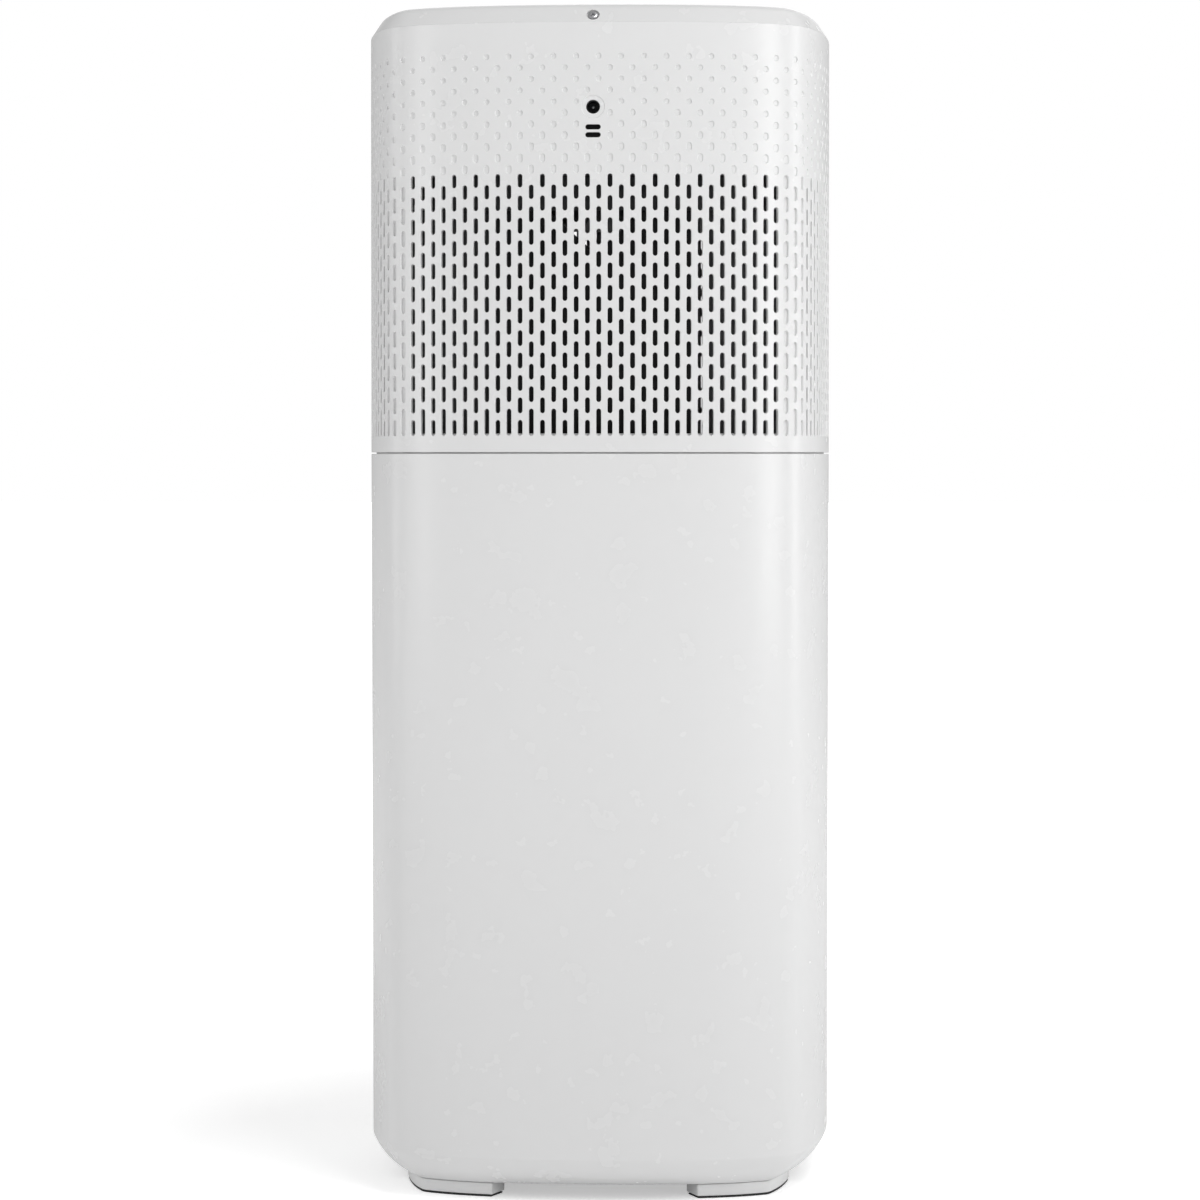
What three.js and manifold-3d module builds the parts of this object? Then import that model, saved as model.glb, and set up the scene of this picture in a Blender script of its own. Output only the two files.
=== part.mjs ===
// Tower air purifier: a bowed square case on four corner feet.  The lower case holds a flat
// filter behind a pull-off front cover and a centrifugal fan; the head spreads the clean air
// through slots on its four faces and carries the controls and the power inlet.
// Millimetres, +Z up, floor at Z = 0, the rear with the power inlet faces -Y.
import * as THREE from 'three';
import { mergeVertices } from 'three/addons/utils/BufferGeometryUtils.js';
import Module from 'manifold-3d';

const wasm = await Module();
wasm.setup();

// ---- driving dimensions --------------------------------------------------------------------
const HEIGHT = 650;            // floor to the top face
const PITCH = 6.08;            // spacing of the slot columns round the case
const CREASE = 17.1 * PITCH;   // arc length from a face's centre to its crease
const BOW_LINEAR = 0.165;      // turn of the face at the crease, linear share (rad)
const BOW_CUBIC = 0.289;       // turn of the face at the crease, cubic share (rad)
const CORNER_R = 27.1;         // corner radius between two creases
const WALL = 2.6;              // moulded wall thickness
const GAP = 0.3;               // clearance between touching pieces

const PAD_T = 0.9;             // rubber pad under each foot
const BASE_Z = 8.2;            // lowest edge of the lower case
const TUCK_Z = 26;             // where the lower case starts to turn in
const TUCK_IN = 18.5;          // how far it turns in
const SEAM_Z = 409;            // joint between the lower case and the head
const COLLAR_Z = 419.3;        // top of the lower case's collar, which stands inside the head
const BEVEL_Z = 639.3;         // where the top bevel starts
const BEVEL_IN = 11.3;         // inset of the top face's edge
const PANEL_IN = 30;           // inset of the control panel's edge

const GRILLE_LOW = 418;        // outlet slots, lowest and highest
const GRILLE_HIGH = 559;
const JACK_Z = 594.3;          // power inlet
const SENSOR_Z = 581.4;        // middle of the two air-sensor slots

const DOOR_GAP = 0.5;          // clearance round the front cover
const DOOR_HALF = 97;          // front cover, half width and heights
const DOOR_LOW = 36;
const DOOR_HIGH = 398;

const FAN_Z = 235;             // fan axis height (the axis runs along Y)
const FAN_BACK = -92;          // fan scroll, rear and front faces
const FAN_FRONT = -14;
const WHEEL_R = 72;            // impeller radius

// ---- plan outline --------------------------------------------------------------------------
// One eighth of the case outline runs from the middle of a face to the 45 degree corner point;
// mirrored and turned it closes the ring.  Each point keeps its outward normal for insets.
function eighth(faceSteps, cornerSteps) {
  const points = [];
  const fine = 24;
  let x = 0, depth = 0;
  const turn = (s) => BOW_LINEAR * (s / CREASE) + BOW_CUBIC * (s / CREASE) ** 3;
  points.push({ x, depth, angle: 0 });
  for (let i = 0; i < faceSteps; i++) {
    for (let j = 0; j < fine; j++) {
      const step = CREASE / faceSteps / fine;
      const angle = turn((i + (j + 0.5) / fine) * CREASE / faceSteps);
      x += Math.cos(angle) * step;
      depth += Math.sin(angle) * step;
    }
    points.push({ x, depth, angle: turn((i + 1) * CREASE / faceSteps) });
  }
  const start = turn(CREASE);
  for (let i = 1; i <= cornerSteps; i++) {
    const angle = start + (Math.PI / 4 - start) * i / cornerSteps;
    points.push({
      x: x + CORNER_R * (Math.sin(angle) - Math.sin(start)),
      depth: depth + CORNER_R * (Math.cos(start) - Math.cos(angle)),
      angle,
    });
  }
  return points;
}

const EIGHTH = eighth(5, 2);
const CORNER = EIGHTH[EIGHTH.length - 1];
const HALF = CORNER.x + CORNER.depth;      // half the case width

// Quarter of the outline centred on the rear-right corner, from the middle of the rear face to
// the middle of the right face, as { x, y, nx, ny }.
function quarter() {
  const ahead = EIGHTH.map((p) => ({
    x: p.x, y: p.depth - HALF, nx: Math.sin(p.angle), ny: -Math.cos(p.angle),
  }));
  const back = ahead.slice(0, -1).reverse().map((p) => ({ x: -p.y, y: -p.x, nx: -p.ny, ny: -p.nx }));
  return [...ahead, ...back];
}

function ring() {
  const points = [];
  for (let turn = 0; turn < 4; turn++) {
    const c = Math.round(Math.cos(turn * Math.PI / 2));
    const s = Math.round(Math.sin(turn * Math.PI / 2));
    for (const p of quarter().slice(0, -1)) {
      points.push({
        x: c * p.x - s * p.y, y: s * p.x + c * p.y,
        nx: c * p.nx - s * p.ny, ny: s * p.nx + c * p.ny,
      });
    }
  }
  return points;
}

const RING = ring();
const DEEPEST = 20;            // insets past this shrink the outline evenly, so corners never fold
const OUTSIDE = 140;           // a plane outside the case, where cutting tools start

// The outline point p moved in by an inset.
function insetPoint(p, inset) {
  const square = Math.min(inset, DEEPEST);
  const shrink = (HALF - inset) / (HALF - square);
  return [(p.x - square * p.nx) * shrink, (p.y - square * p.ny) * shrink];
}

// ---- solids --------------------------------------------------------------------------------
function fromTriangles(positions, indices) {
  const geometry = new THREE.BufferGeometry();
  geometry.setAttribute('position', new THREE.BufferAttribute(Float32Array.from(positions), 3));
  geometry.setIndex(indices);
  return outwards(geometry);
}

// Turns a closed mesh so that its faces point out.
function outwards(geometry) {
  const p = geometry.attributes.position;
  const index = geometry.index.array;
  const a = new THREE.Vector3(), b = new THREE.Vector3(), c = new THREE.Vector3();
  let volume = 0;
  for (let i = 0; i < index.length; i += 3) {
    a.fromBufferAttribute(p, index[i]);
    b.fromBufferAttribute(p, index[i + 1]);
    c.fromBufferAttribute(p, index[i + 2]);
    volume += a.dot(b.cross(c));
  }
  if (volume < 0) {
    const flipped = Array.from(index);
    for (let i = 0; i < flipped.length; i += 3) [flipped[i], flipped[i + 1]] = [flipped[i + 1], flipped[i]];
    geometry.setIndex(flipped);
  }
  return geometry;
}

// Sweeps a closed profile of [inset, z] pairs round the case outline: a shell or a ring.
function around(profile) {
  const positions = [], indices = [];
  for (const [inset, z] of profile) {
    for (const p of RING) positions.push(...insetPoint(p, inset), z);
  }
  const n = RING.length;
  const m = profile.length;
  for (let i = 0; i < m; i++) {
    for (let j = 0; j < n; j++) {
      const a = i * n + j, b = i * n + (j + 1) % n;
      const c = ((i + 1) % m) * n + j, d = ((i + 1) % m) * n + (j + 1) % n;
      indices.push(a, b, c, b, d, c);
    }
  }
  return fromTriangles(positions, indices);
}

// A flat plate of the case outline between two heights.
function plate(inset, low, high) {
  const shape = new THREE.Shape(RING.map((p) => new THREE.Vector2(...insetPoint(p, inset))));
  return new THREE.ExtrudeGeometry(shape, { depth: high - low, bevelEnabled: false }).translate(0, 0, low);
}

function box(x0, x1, y0, y1, z0, z1) {
  return new THREE.BoxGeometry(x1 - x0, y1 - y0, z1 - z0)
    .translate((x0 + x1) / 2, (y0 + y1) / 2, (z0 + z1) / 2);
}

// A cylinder along Y from y0 to y1.
function rodY(radius, y0, y1, x, z, sides = 24) {
  return new THREE.CylinderGeometry(radius, radius, y1 - y0, sides).translate(x, (y0 + y1) / 2, z);
}

// A cylinder along Z from z0 to z1.
function rodZ(radius, z0, z1, x, y, sides = 24) {
  return new THREE.CylinderGeometry(radius, radius, z1 - z0, sides)
    .rotateX(Math.PI / 2).translate(x, y, (z0 + z1) / 2);
}

// An upright slot with pointed ends, drawn in X and Z.
function slotShape(width, low, high, x) {
  const half = width / 2;
  return new THREE.Shape([
    [x - half, low + half], [x, low], [x + half, low + half],
    [x + half, high - half], [x, high], [x - half, high - half],
  ].map(([px, pz]) => new THREE.Vector2(px, pz)));
}

// A profile of [radius, height] pairs turned about Y.
const lathe = (profile, sides) =>
  new THREE.LatheGeometry(profile.map(([r, h]) => new THREE.Vector2(r, h)), sides);

// An outline drawn in X and Z, extruded along Y.
function extrudeY(shape, y0, y1) {
  return new THREE.ExtrudeGeometry(shape, { depth: y1 - y0, bevelEnabled: false })
    .rotateX(Math.PI / 2).translate(0, y1, 0);
}

function solid(geometry) {
  const bare = geometry.clone();
  bare.deleteAttribute('normal');
  bare.deleteAttribute('uv');
  const merged = outwards(mergeVertices(bare, 1e-4));
  return new wasm.Manifold(new wasm.Mesh({
    numProp: 3,
    vertProperties: Float32Array.from(merged.attributes.position.array),
    triVerts: Uint32Array.from(merged.index.array),
  }));
}

function geometryOf(manifold) {
  const mesh = manifold.getMesh();
  const geometry = new THREE.BufferGeometry();
  geometry.setAttribute('position', new THREE.BufferAttribute(mesh.vertProperties, 3));
  geometry.setIndex(new THREE.BufferAttribute(mesh.triVerts, 1));
  return geometry;
}

const cut = (body, ...tools) => geometryOf(tools.reduce((m, tool) => m.subtract(solid(tool)), solid(body)));
const join = (body, ...extras) => geometryOf(extras.reduce((m, extra) => m.add(solid(extra)), solid(body)));

// ---- finishes ------------------------------------------------------------------------------
const finish = (color, roughness, metalness = 0) =>
  new THREE.MeshStandardMaterial({ color, roughness, metalness });
const WHITE = finish(0xe9eaeb, 0.42);
const GREY = finish(0x4a4c4f, 0.6);
const BLACK = finish(0x1c1d1f, 0.5);
const GLASSY = finish(0x111214, 0.08);
const RUBBER = finish(0x232325, 0.9);
const STEEL = finish(0xc4c7ca, 0.28, 1);
const BOARD = finish(0x1f5a3a, 0.5);
const PAPER = finish(0xf1efe8, 0.95);
const CARBON = finish(0x2a2a2b, 0.95);
const FOAM = finish(0x3a3b3d, 1);
const RIBBON = finish(0xb9bdc1, 0.85);

const part = new THREE.Group();
function add(name, geometry, material) {
  const mesh = new THREE.Mesh(geometry, material);
  mesh.name = name;
  part.add(mesh);
  return mesh;
}

// ---- lower case ----------------------------------------------------------------------------
// The foot of the case turns in on a curve that leaves the wall at a slight edge.
function tuck(steps, offset) {
  const profile = [];
  const first = 0.36, last = 1.13;      // slope from the vertical at the top and the bottom (rad)
  const span = Math.cos(first) - Math.cos(last);
  const rise = Math.sin(last) - Math.sin(first);
  for (let i = 0; i <= steps; i++) {
    const a = first + (last - first) * i / steps;
    const inset = TUCK_IN * (Math.cos(first) - Math.cos(a)) / span;
    const z = TUCK_Z - (TUCK_Z - BASE_Z) * (Math.sin(a) - Math.sin(first)) / rise;
    profile.push([inset + offset * Math.cos(a), z + offset * Math.sin(a)]);
  }
  return profile;
}

function baseShell() {
  const outer = tuck(3, 0);
  const inner = tuck(3, WALL).reverse();
  const collar = [[WALL, COLLAR_Z - 24], [2 * WALL, COLLAR_Z - 20], [2 * WALL, COLLAR_Z],
    [WALL + GAP, COLLAR_Z], [WALL + GAP, SEAM_Z - GAP]];
  const shell = around([[0, SEAM_Z - GAP], ...outer, ...inner, ...collar]);
  const half = DOOR_HALF + DOOR_GAP;
  return cut(shell, box(-half, half, 60, OUTSIDE, DOOR_LOW - DOOR_GAP, DOOR_HIGH + DOOR_GAP));
}
add('base_shell', baseShell(), WHITE);

const PLATE_Z = 12.2;
const PLATE_T = 3;
const PLATE_IN = 17.2;
const FOOT_SPOTS = [['rear_left', 3], ['rear_right', 0], ['front_right', 1], ['front_left', 2]];

const SCREW_AT = 92;                    // foot screws, from the middle along X and Y
const SCREW_HOLE_R = 2.1;

function basePlate() {
  const holes = FOOT_SPOTS.map(([, turns]) =>
    rodZ(SCREW_HOLE_R, 0, 30, SCREW_AT, -SCREW_AT, 10).rotateZ(turns * Math.PI / 2));
  return cut(plate(PLATE_IN, PLATE_Z, PLATE_Z + PLATE_T), ...holes);
}
add('base_plate', basePlate(), GREY);

// A corner foot: a bent bar that follows the case outline round one corner.
const FOOT_IN = 19.2;
const FOOT_BACK = 32;
function footShape(extra) {
  const along = quarter();
  const run = along.filter((p) => Math.max(p.x, -p.y) > 0 && Math.min(p.x, -p.y) > 50);
  const outer = run.map((p) => new THREE.Vector2(...insetPoint(p, FOOT_IN + extra)));
  const inner = run.map((p) => new THREE.Vector2(...insetPoint(p, FOOT_BACK - extra))).reverse();
  return new THREE.Shape([...outer, ...inner]);
}

function footBlock(extra, low, high, turns) {
  return new THREE.ExtrudeGeometry(footShape(extra), { depth: high - low, bevelEnabled: false })
    .translate(0, 0, low).rotateZ(turns * Math.PI / 2);
}

// A pan-head screw standing on the origin, head up, shank down.
function screw(headR, headT, shankR, shankL, sides = 12) {
  const profile = [
    [0, -shankL], [shankR, -shankL], [shankR, 0], [headR, 0],
    [headR, headT * 0.6], [headR * 0.6, headT], [0, headT],
  ];
  return lathe(profile, sides).rotateX(Math.PI / 2);
}

for (const [spot, turns] of FOOT_SPOTS) {
  const top = BASE_Z - GAP;
  const bore = rodZ(SCREW_HOLE_R, -1, 20, SCREW_AT, -SCREW_AT, 10).rotateZ(turns * Math.PI / 2);
  const foot = join(footBlock(0, PAD_T + GAP, top, turns), footBlock(2, top - 0.5, PLATE_Z - GAP, turns));
  add(`foot_${spot}`, cut(foot, bore), WHITE);
  add(`foot_pad_${spot}`, footBlock(1.2, 0, PAD_T, turns), RUBBER);
  const seated = screw(3.4, 2.2, 1.7, 11).translate(SCREW_AT, -SCREW_AT, PLATE_Z + PLATE_T + GAP);
  add(`foot_screw_${spot}`, seated.rotateZ(turns * Math.PI / 2), STEEL);
}

// ---- head ----------------------------------------------------------------------------------
// Tall openings stand for the staggered slots of the outlet on each face.
const OUTLET_COLUMNS = 11;
const OUTLET_STEP = 3 * PITCH;
const OPENING_W = 4;
const PLUG_R = 3.7;
const RECESS_R = 6.6;
function headShell() {
  const shell = around([[0, SEAM_Z + GAP], [0, BEVEL_Z], [WALL, BEVEL_Z], [WALL, SEAM_Z + GAP]]);
  const tools = [];
  for (let turn = 0; turn < 4; turn++) {
    for (let i = 0; i < OUTLET_COLUMNS; i++) {
      const x = (i - (OUTLET_COLUMNS - 1) / 2) * OUTLET_STEP;
      const slot = extrudeY(slotShape(OPENING_W, GRILLE_LOW, GRILLE_HIGH, x), -OUTSIDE, -95);
      tools.push(slot.rotateZ(turn * Math.PI / 2));
    }
  }
  tools.push(rodY(PLUG_R, -OUTSIDE, -120, 0, JACK_Z, 20));
  tools.push(rodY(RECESS_R, -OUTSIDE, -HALF + 0.8, 0, JACK_Z, 24));
  for (const z of [SENSOR_Z + 2.1, SENSOR_Z - 2.1]) {
    tools.push(box(-4.1, 4.1, -OUTSIDE, -120, z - 1.4, z + 1.4));
  }
  return cut(shell, ...tools);
}
add('head_shell', headShell(), WHITE);

// The top cap carries the bevel and the rim round the control panel, and a screw boss.
const SCREW_TILT = THREE.MathUtils.degToRad(32.7);
const SCREW_OUT = new THREE.Vector3(0, -Math.cos(SCREW_TILT), Math.sin(SCREW_TILT));
const SCREW_SEAT = new THREE.Vector3(0, -HALF + 2.9, BEVEL_Z + 4.5);
function alongScrew(geometry, offset = 0) {
  const turn = new THREE.Quaternion().setFromUnitVectors(new THREE.Vector3(0, 0, 1), SCREW_OUT);
  const place = SCREW_SEAT.clone().addScaledVector(SCREW_OUT, offset);
  return geometry.applyQuaternion(turn).translate(place.x, place.y, place.z);
}

function topCap() {
  const edge = BEVEL_Z + GAP;
  const outer = [[0, edge], [5.2, HEIGHT - 2.6], [7.6, HEIGHT - 0.7], [BEVEL_IN, HEIGHT], [PANEL_IN, HEIGHT]];
  const ceiling = HEIGHT - WALL;
  const inner = [
    [PANEL_IN, ceiling], [BEVEL_IN, ceiling], [7.4, ceiling - 1], [WALL, edge + 1], [WALL, edge],
  ];
  const below = box(-10, 10, -OUTSIDE, -100, BEVEL_Z - 20, edge);
  const boss = cut(alongScrew(rodZ(4.6, -9, -1, 0, 0, 20)), below);
  const body = join(around([...outer, ...inner]), boss);
  return cut(body, alongScrew(rodZ(3.6, -1.8, 6, 0, 0, 24)), alongScrew(rodZ(1.8, -7.4, 0, 0, 0, 16)));
}
add('top_cap', topCap(), WHITE);
add('rear_screw', alongScrew(screw(2.7, 1.6, 1.45, 5.2, 20), -1.5), STEEL);

// ---- control panel -------------------------------------------------------------------------
const PANEL_TOP = HEIGHT - 0.6;
const PANEL_T = 2.4;
const BUTTON_R = 7.5;
const BUTTON_Y = 58;
const BUTTONS = [['button_power', -30], ['button_speed', 30]];
const LENS_W = 54;
const LENS_H = 30;
const LENS_Y = 20;

function roundedPlate(width, depth, radius, low, high, x, y) {
  const shape = new THREE.Shape();
  const w = width / 2 - radius, d = depth / 2 - radius;
  shape.absarc(w, d, radius, 0, Math.PI / 2, false);
  shape.absarc(-w, d, radius, Math.PI / 2, Math.PI, false);
  shape.absarc(-w, -d, radius, Math.PI, 1.5 * Math.PI, false);
  shape.absarc(w, -d, radius, 1.5 * Math.PI, 2 * Math.PI, false);
  return new THREE.ExtrudeGeometry(shape, { depth: high - low, bevelEnabled: false, curveSegments: 4 })
    .translate(x, y, low);
}

function topPanel() {
  const holes = BUTTONS.map(([, x]) => rodZ(BUTTON_R + 0.4, 600, 700, x, BUTTON_Y, 24));
  const window = roundedPlate(LENS_W + 0.8, LENS_H + 0.8, 6.4, 600, 700, 0, LENS_Y);
  return cut(plate(PANEL_IN + GAP, PANEL_TOP - PANEL_T, PANEL_TOP), window, ...holes);
}
add('top_panel', topPanel(), WHITE);
add('display_lens', roundedPlate(LENS_W, LENS_H, 6, PANEL_TOP - 2, PANEL_TOP, 0, LENS_Y), GLASSY);

const BOARD_TOP = PANEL_TOP - 9;
const BOARD_T = 1.6;
for (const [name, x] of BUTTONS) {
  const cap = rodZ(BUTTON_R, PANEL_TOP - 2.2, PANEL_TOP + 0.5, x, BUTTON_Y, 24);
  const stem = rodZ(2, BOARD_TOP + 1.9, PANEL_TOP - 2, x, BUTTON_Y, 12);
  add(name, join(cap, stem), WHITE);
}
add('control_board', box(-55, 55, 0, 72, BOARD_TOP - BOARD_T, BOARD_TOP), BOARD);
const MODULE_TOP = PANEL_TOP - 2 - GAP;
add('display_module', box(-24, 24, LENS_Y - 12, LENS_Y + 12, BOARD_TOP + GAP, MODULE_TOP), BLACK);

// A rack under the board holds it to the top panel.
function boardRack() {
  const low = BOARD_TOP - 4;
  const spots = [[-62, 6], [62, 6], [-62, 66], [62, 66]];
  const legs = spots.map(([x, y]) => rodZ(3, low, PANEL_TOP - PANEL_T - GAP, x, y, 12));
  const tray = cut(box(-65, 65, 3, 69, low, BOARD_TOP - BOARD_T - GAP), box(-48, 48, 8, 64, 600, 700));
  return join(tray, ...legs);
}
add('board_rack', boardRack(), GREY);

// ---- power inlet and air sensor ------------------------------------------------------------
const JACK_FACE = -HALF + WALL + GAP;
function jack() {
  const body = box(-7, 7, JACK_FACE, JACK_FACE + 15, JACK_Z - 5.5, JACK_Z + 5.5);
  return cut(body, rodY(3.2, JACK_FACE - 1, JACK_FACE + 11, 0, JACK_Z, 20));
}
add('dc_jack', jack(), BLACK);
add('jack_pin', rodY(1, JACK_FACE + 2.4, JACK_FACE + 11 - GAP, 0, JACK_Z, 10), STEEL);
function sensorBox() {
  const body = box(-17, 17, JACK_FACE + 0.8, JACK_FACE + 14, SENSOR_Z - 12, SENSOR_Z + 6.4);
  return cut(body, box(-4.6, 4.6, JACK_FACE - 1, JACK_FACE + 9, SENSOR_Z - 4, SENSOR_Z + 4));
}
add('air_sensor', sensorBox(), BLACK);

// ---- deck and outlet chamber ---------------------------------------------------------------
const DECK_Z = 404;
const DECK_T = 3;
const THROAT_HALF = 56;
function deck() {
  const body = plate(2 * WALL + GAP, DECK_Z, DECK_Z + DECK_T);
  return cut(body, box(-THROAT_HALF, THROAT_HALF, FAN_BACK, FAN_FRONT, 380, 420));
}
add('deck_plate', deck(), GREY);

// The chimney lifts the air from the fan; a notch in each wall's top edge lets it out.
const CHIMNEY_LOW = DECK_Z + DECK_T + GAP;
const CHIMNEY_HIGH = 541;
const NOTCH_Z = 518;
const NOTCH_HALF = 27;
const CHIMNEY_BACK = -94;
const CHIMNEY_FRONT = 30;
function chimney() {
  const body = box(-THROAT_HALF, THROAT_HALF, CHIMNEY_BACK, CHIMNEY_FRONT, CHIMNEY_LOW, CHIMNEY_HIGH);
  const bore = box(-THROAT_HALF + 2, THROAT_HALF - 2, CHIMNEY_BACK + 2, CHIMNEY_FRONT - 2, 380, 600);
  const notch = () => {
    const shape = new THREE.Shape();
    shape.moveTo(-NOTCH_HALF, CHIMNEY_HIGH + 1);
    shape.lineTo(0, NOTCH_Z);
    shape.lineTo(NOTCH_HALF, CHIMNEY_HIGH + 1);
    return extrudeY(shape, -150, 150);
  };
  const middle = (CHIMNEY_BACK + CHIMNEY_FRONT) / 2;
  return cut(body, bore, notch(), notch().rotateZ(Math.PI / 2).translate(0, middle, 0));
}
add('outlet_chimney', chimney(), BLACK);

// Four upright baffles run from the chimney's corners towards the corners of the case.
const BAFFLES = [
  ['rear_left', [-57, -88], [-100, -103]],
  ['rear_right', [57, -88], [100, -103]],
  ['front_right', [57, 32], [101, 96]],
  ['front_left', [-57, 32], [-101, 96]],
];
for (const [spot, from, to] of BAFFLES) {
  const along = [to[0] - from[0], to[1] - from[1]];
  const blade = box(0, Math.hypot(...along), -1.2, 1.2, CHIMNEY_LOW, CHIMNEY_HIGH);
  blade.rotateZ(Math.atan2(along[1], along[0])).translate(from[0] + Math.sign(from[0]) * 1.5, from[1], 0);
  add(`baffle_${spot}`, blade, GREY);
}

// A shallow tray closes the chamber above and keeps the electronics out of the air.
const TRAY_HIGH = 560;
function tray() {
  const body = box(-84, 84, -98, 84, CHIMNEY_HIGH + GAP, TRAY_HIGH);
  return cut(body, box(-81.5, 81.5, -95.5, 81.5, CHIMNEY_HIGH + 3, TRAY_HIGH + 5));
}
add('ceiling_tray', tray(), GREY);

// ---- fan -----------------------------------------------------------------------------------
// The scroll opens by a constant growth per turn and leaves upwards through the deck.
function scrollOutline(extra) {
  const shape = new THREE.Shape();
  const steps = 22;
  const from = THREE.MathUtils.degToRad(150);
  const sweep = THREE.MathUtils.degToRad(210);
  for (let i = 0; i <= steps; i++) {
    const t = i / steps;
    const r = WHEEL_R + 8 + 18 * t + extra;
    const a = from + sweep * t;
    const x = r * Math.cos(a);
    const z = r * Math.sin(a);
    if (i === 0) shape.moveTo(x, z);
    else shape.lineTo(x, z);
  }
  shape.lineTo(WHEEL_R + 26 + extra, 60);
  shape.lineTo(THROAT_HALF - 2 + extra, DECK_Z - 20 - FAN_Z);
  return shape;
}

function scroll() {
  const top = DECK_Z - FAN_Z + DECK_T;
  const outer = scrollOutline(0);
  outer.lineTo(THROAT_HALF - 2, top);
  outer.lineTo(-THROAT_HALF + 2, top);
  outer.lineTo(-THROAT_HALF + 2, 80);
  const inner = scrollOutline(-WALL);
  inner.lineTo(THROAT_HALF - 2 - WALL, top + 5);
  inner.lineTo(-THROAT_HALF + 2 + WALL, top + 5);
  inner.lineTo(-THROAT_HALF + 2 + WALL, 81);
  const body = extrudeY(outer, FAN_BACK + GAP, FAN_FRONT - GAP).translate(0, 0, FAN_Z);
  const hollow = extrudeY(inner, FAN_BACK + GAP + WALL, FAN_FRONT - GAP - WALL).translate(0, 0, FAN_Z);
  const inlet = rodY(64, FAN_FRONT - 10, FAN_FRONT + 5, 0, FAN_Z, 40);
  const shaftHole = rodY(12, FAN_BACK - 5, FAN_BACK + 10, 0, FAN_Z, 20);
  return cut(body, hollow, inlet, shaftHole);
}
add('fan_scroll', scroll(), BLACK);

const BLADES = 22;
const BLADE_LEAN = 0.5;
const SHAFT_R = 4;
const BORE_R = SHAFT_R + GAP;
const WHEEL_BACK = FAN_BACK + 8;
const WHEEL_FRONT = FAN_FRONT - 7;
function impeller() {
  const disc = rodY(WHEEL_R, WHEEL_BACK, WHEEL_BACK + 2.5, 0, 0, 36);
  const hub = rodY(13, WHEEL_BACK, WHEEL_BACK + 26, 0, 0, 16);
  const inner = WHEEL_R - 9;
  const section = [[inner, -1.5], [WHEEL_R, -1.5], [WHEEL_R, 1.5], [inner, 1.5], [inner, -1.5]];
  const rim = lathe(section, 36).translate(0, WHEEL_FRONT - 1.5, 0);
  const blades = [];
  for (let i = 0; i < BLADES; i++) {
    const blade = box(-0.9, 0.9, WHEEL_BACK + 1, WHEEL_FRONT - 1, WHEEL_R - 16, WHEEL_R - 1.5);
    blade.translate(0, 0, -inner).rotateY(BLADE_LEAN).translate(0, 0, inner);
    blades.push(blade.rotateY(i * 2 * Math.PI / BLADES));
  }
  const body = join(disc, hub, rim, ...blades);
  return cut(body, rodY(BORE_R, WHEEL_BACK - 5, WHEEL_FRONT + 5, 0, 0, 16)).translate(0, 0, FAN_Z);
}
add('impeller', impeller(), GREY);

const MOTOR_BACK = -120;
const MOTOR_FRONT = FAN_BACK - 3.4;
// A disc or block on the fan axis with a round hole from holeBack to holeFront.
function onAxis(radius, sides, back, front, holeR, holeBack, holeFront) {
  return cut(rodY(radius, back, front, 0, FAN_Z, sides), rodY(holeR, holeBack, holeFront, 0, FAN_Z, 18));
}

add('motor', onAxis(34, 32, MOTOR_BACK, MOTOR_FRONT, SHAFT_R + 0.6, MOTOR_BACK + 8, FAN_BACK), STEEL);
add('motor_plate', onAxis(46, 32, MOTOR_FRONT + GAP, FAN_BACK, 12, MOTOR_BACK, FAN_BACK + 5), GREY);
add('motor_shaft', rodY(SHAFT_R, MOTOR_BACK + 9, WHEEL_BACK + 32, 0, FAN_Z, 16), STEEL);
const NUT_BACK = WHEEL_BACK + 26 + GAP;
add('hub_nut', onAxis(7, 6, NUT_BACK, NUT_BACK + 5, BORE_R, NUT_BACK - 5, NUT_BACK + 9), STEEL);

// The inlet ring guides the air into the wheel, behind a guard of rings and spokes.
const INLET_RING = [[58, -5], [61, -5], [62, -1], [66, 3], [75, 5], [75, 7.5], [64, 5.5], [60, 1], [58, -5]];
add('inlet_ring', lathe(INLET_RING, 32).translate(0, FAN_FRONT, FAN_Z), GREY);

function guard() {
  const y = FAN_FRONT + 11;
  const hoop = (r) => new THREE.TorusGeometry(r, 1.4, 4, 24).rotateX(Math.PI / 2).translate(0, y, 0);
  const bars = [0, 1, 2].map((i) => box(-1.3, 1.3, y - 1.2, y + 1.2, -74.5, 74.5).rotateY(i * Math.PI / 3));
  return join(hoop(74), hoop(48), hoop(22), ...bars).translate(0, 0, FAN_Z);
}
add('inlet_guard', guard(), GREY);

// ---- filter bay ----------------------------------------------------------------------------
const BAY_HALF = 95.6;
const BAY_BACK = 4;
const BAY_FRONT = 108;
const FILTER_LOW = 52;
const FILTER_HIGH = 381;
function filterBay() {
  const body = box(-BAY_HALF, BAY_HALF, BAY_BACK, BAY_FRONT, DOOR_LOW + 1, DOOR_HIGH - 1);
  const half = BAY_HALF - 2.2;
  const room = box(-half, half, BAY_BACK + 2.2, BAY_FRONT + 5, FILTER_LOW - 1, FILTER_HIGH + 1);
  return cut(body, room, rodY(78, BAY_BACK - 5, BAY_BACK + 5, 0, FAN_Z, 48));
}
add('filter_bay', filterBay(), GREY);

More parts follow.
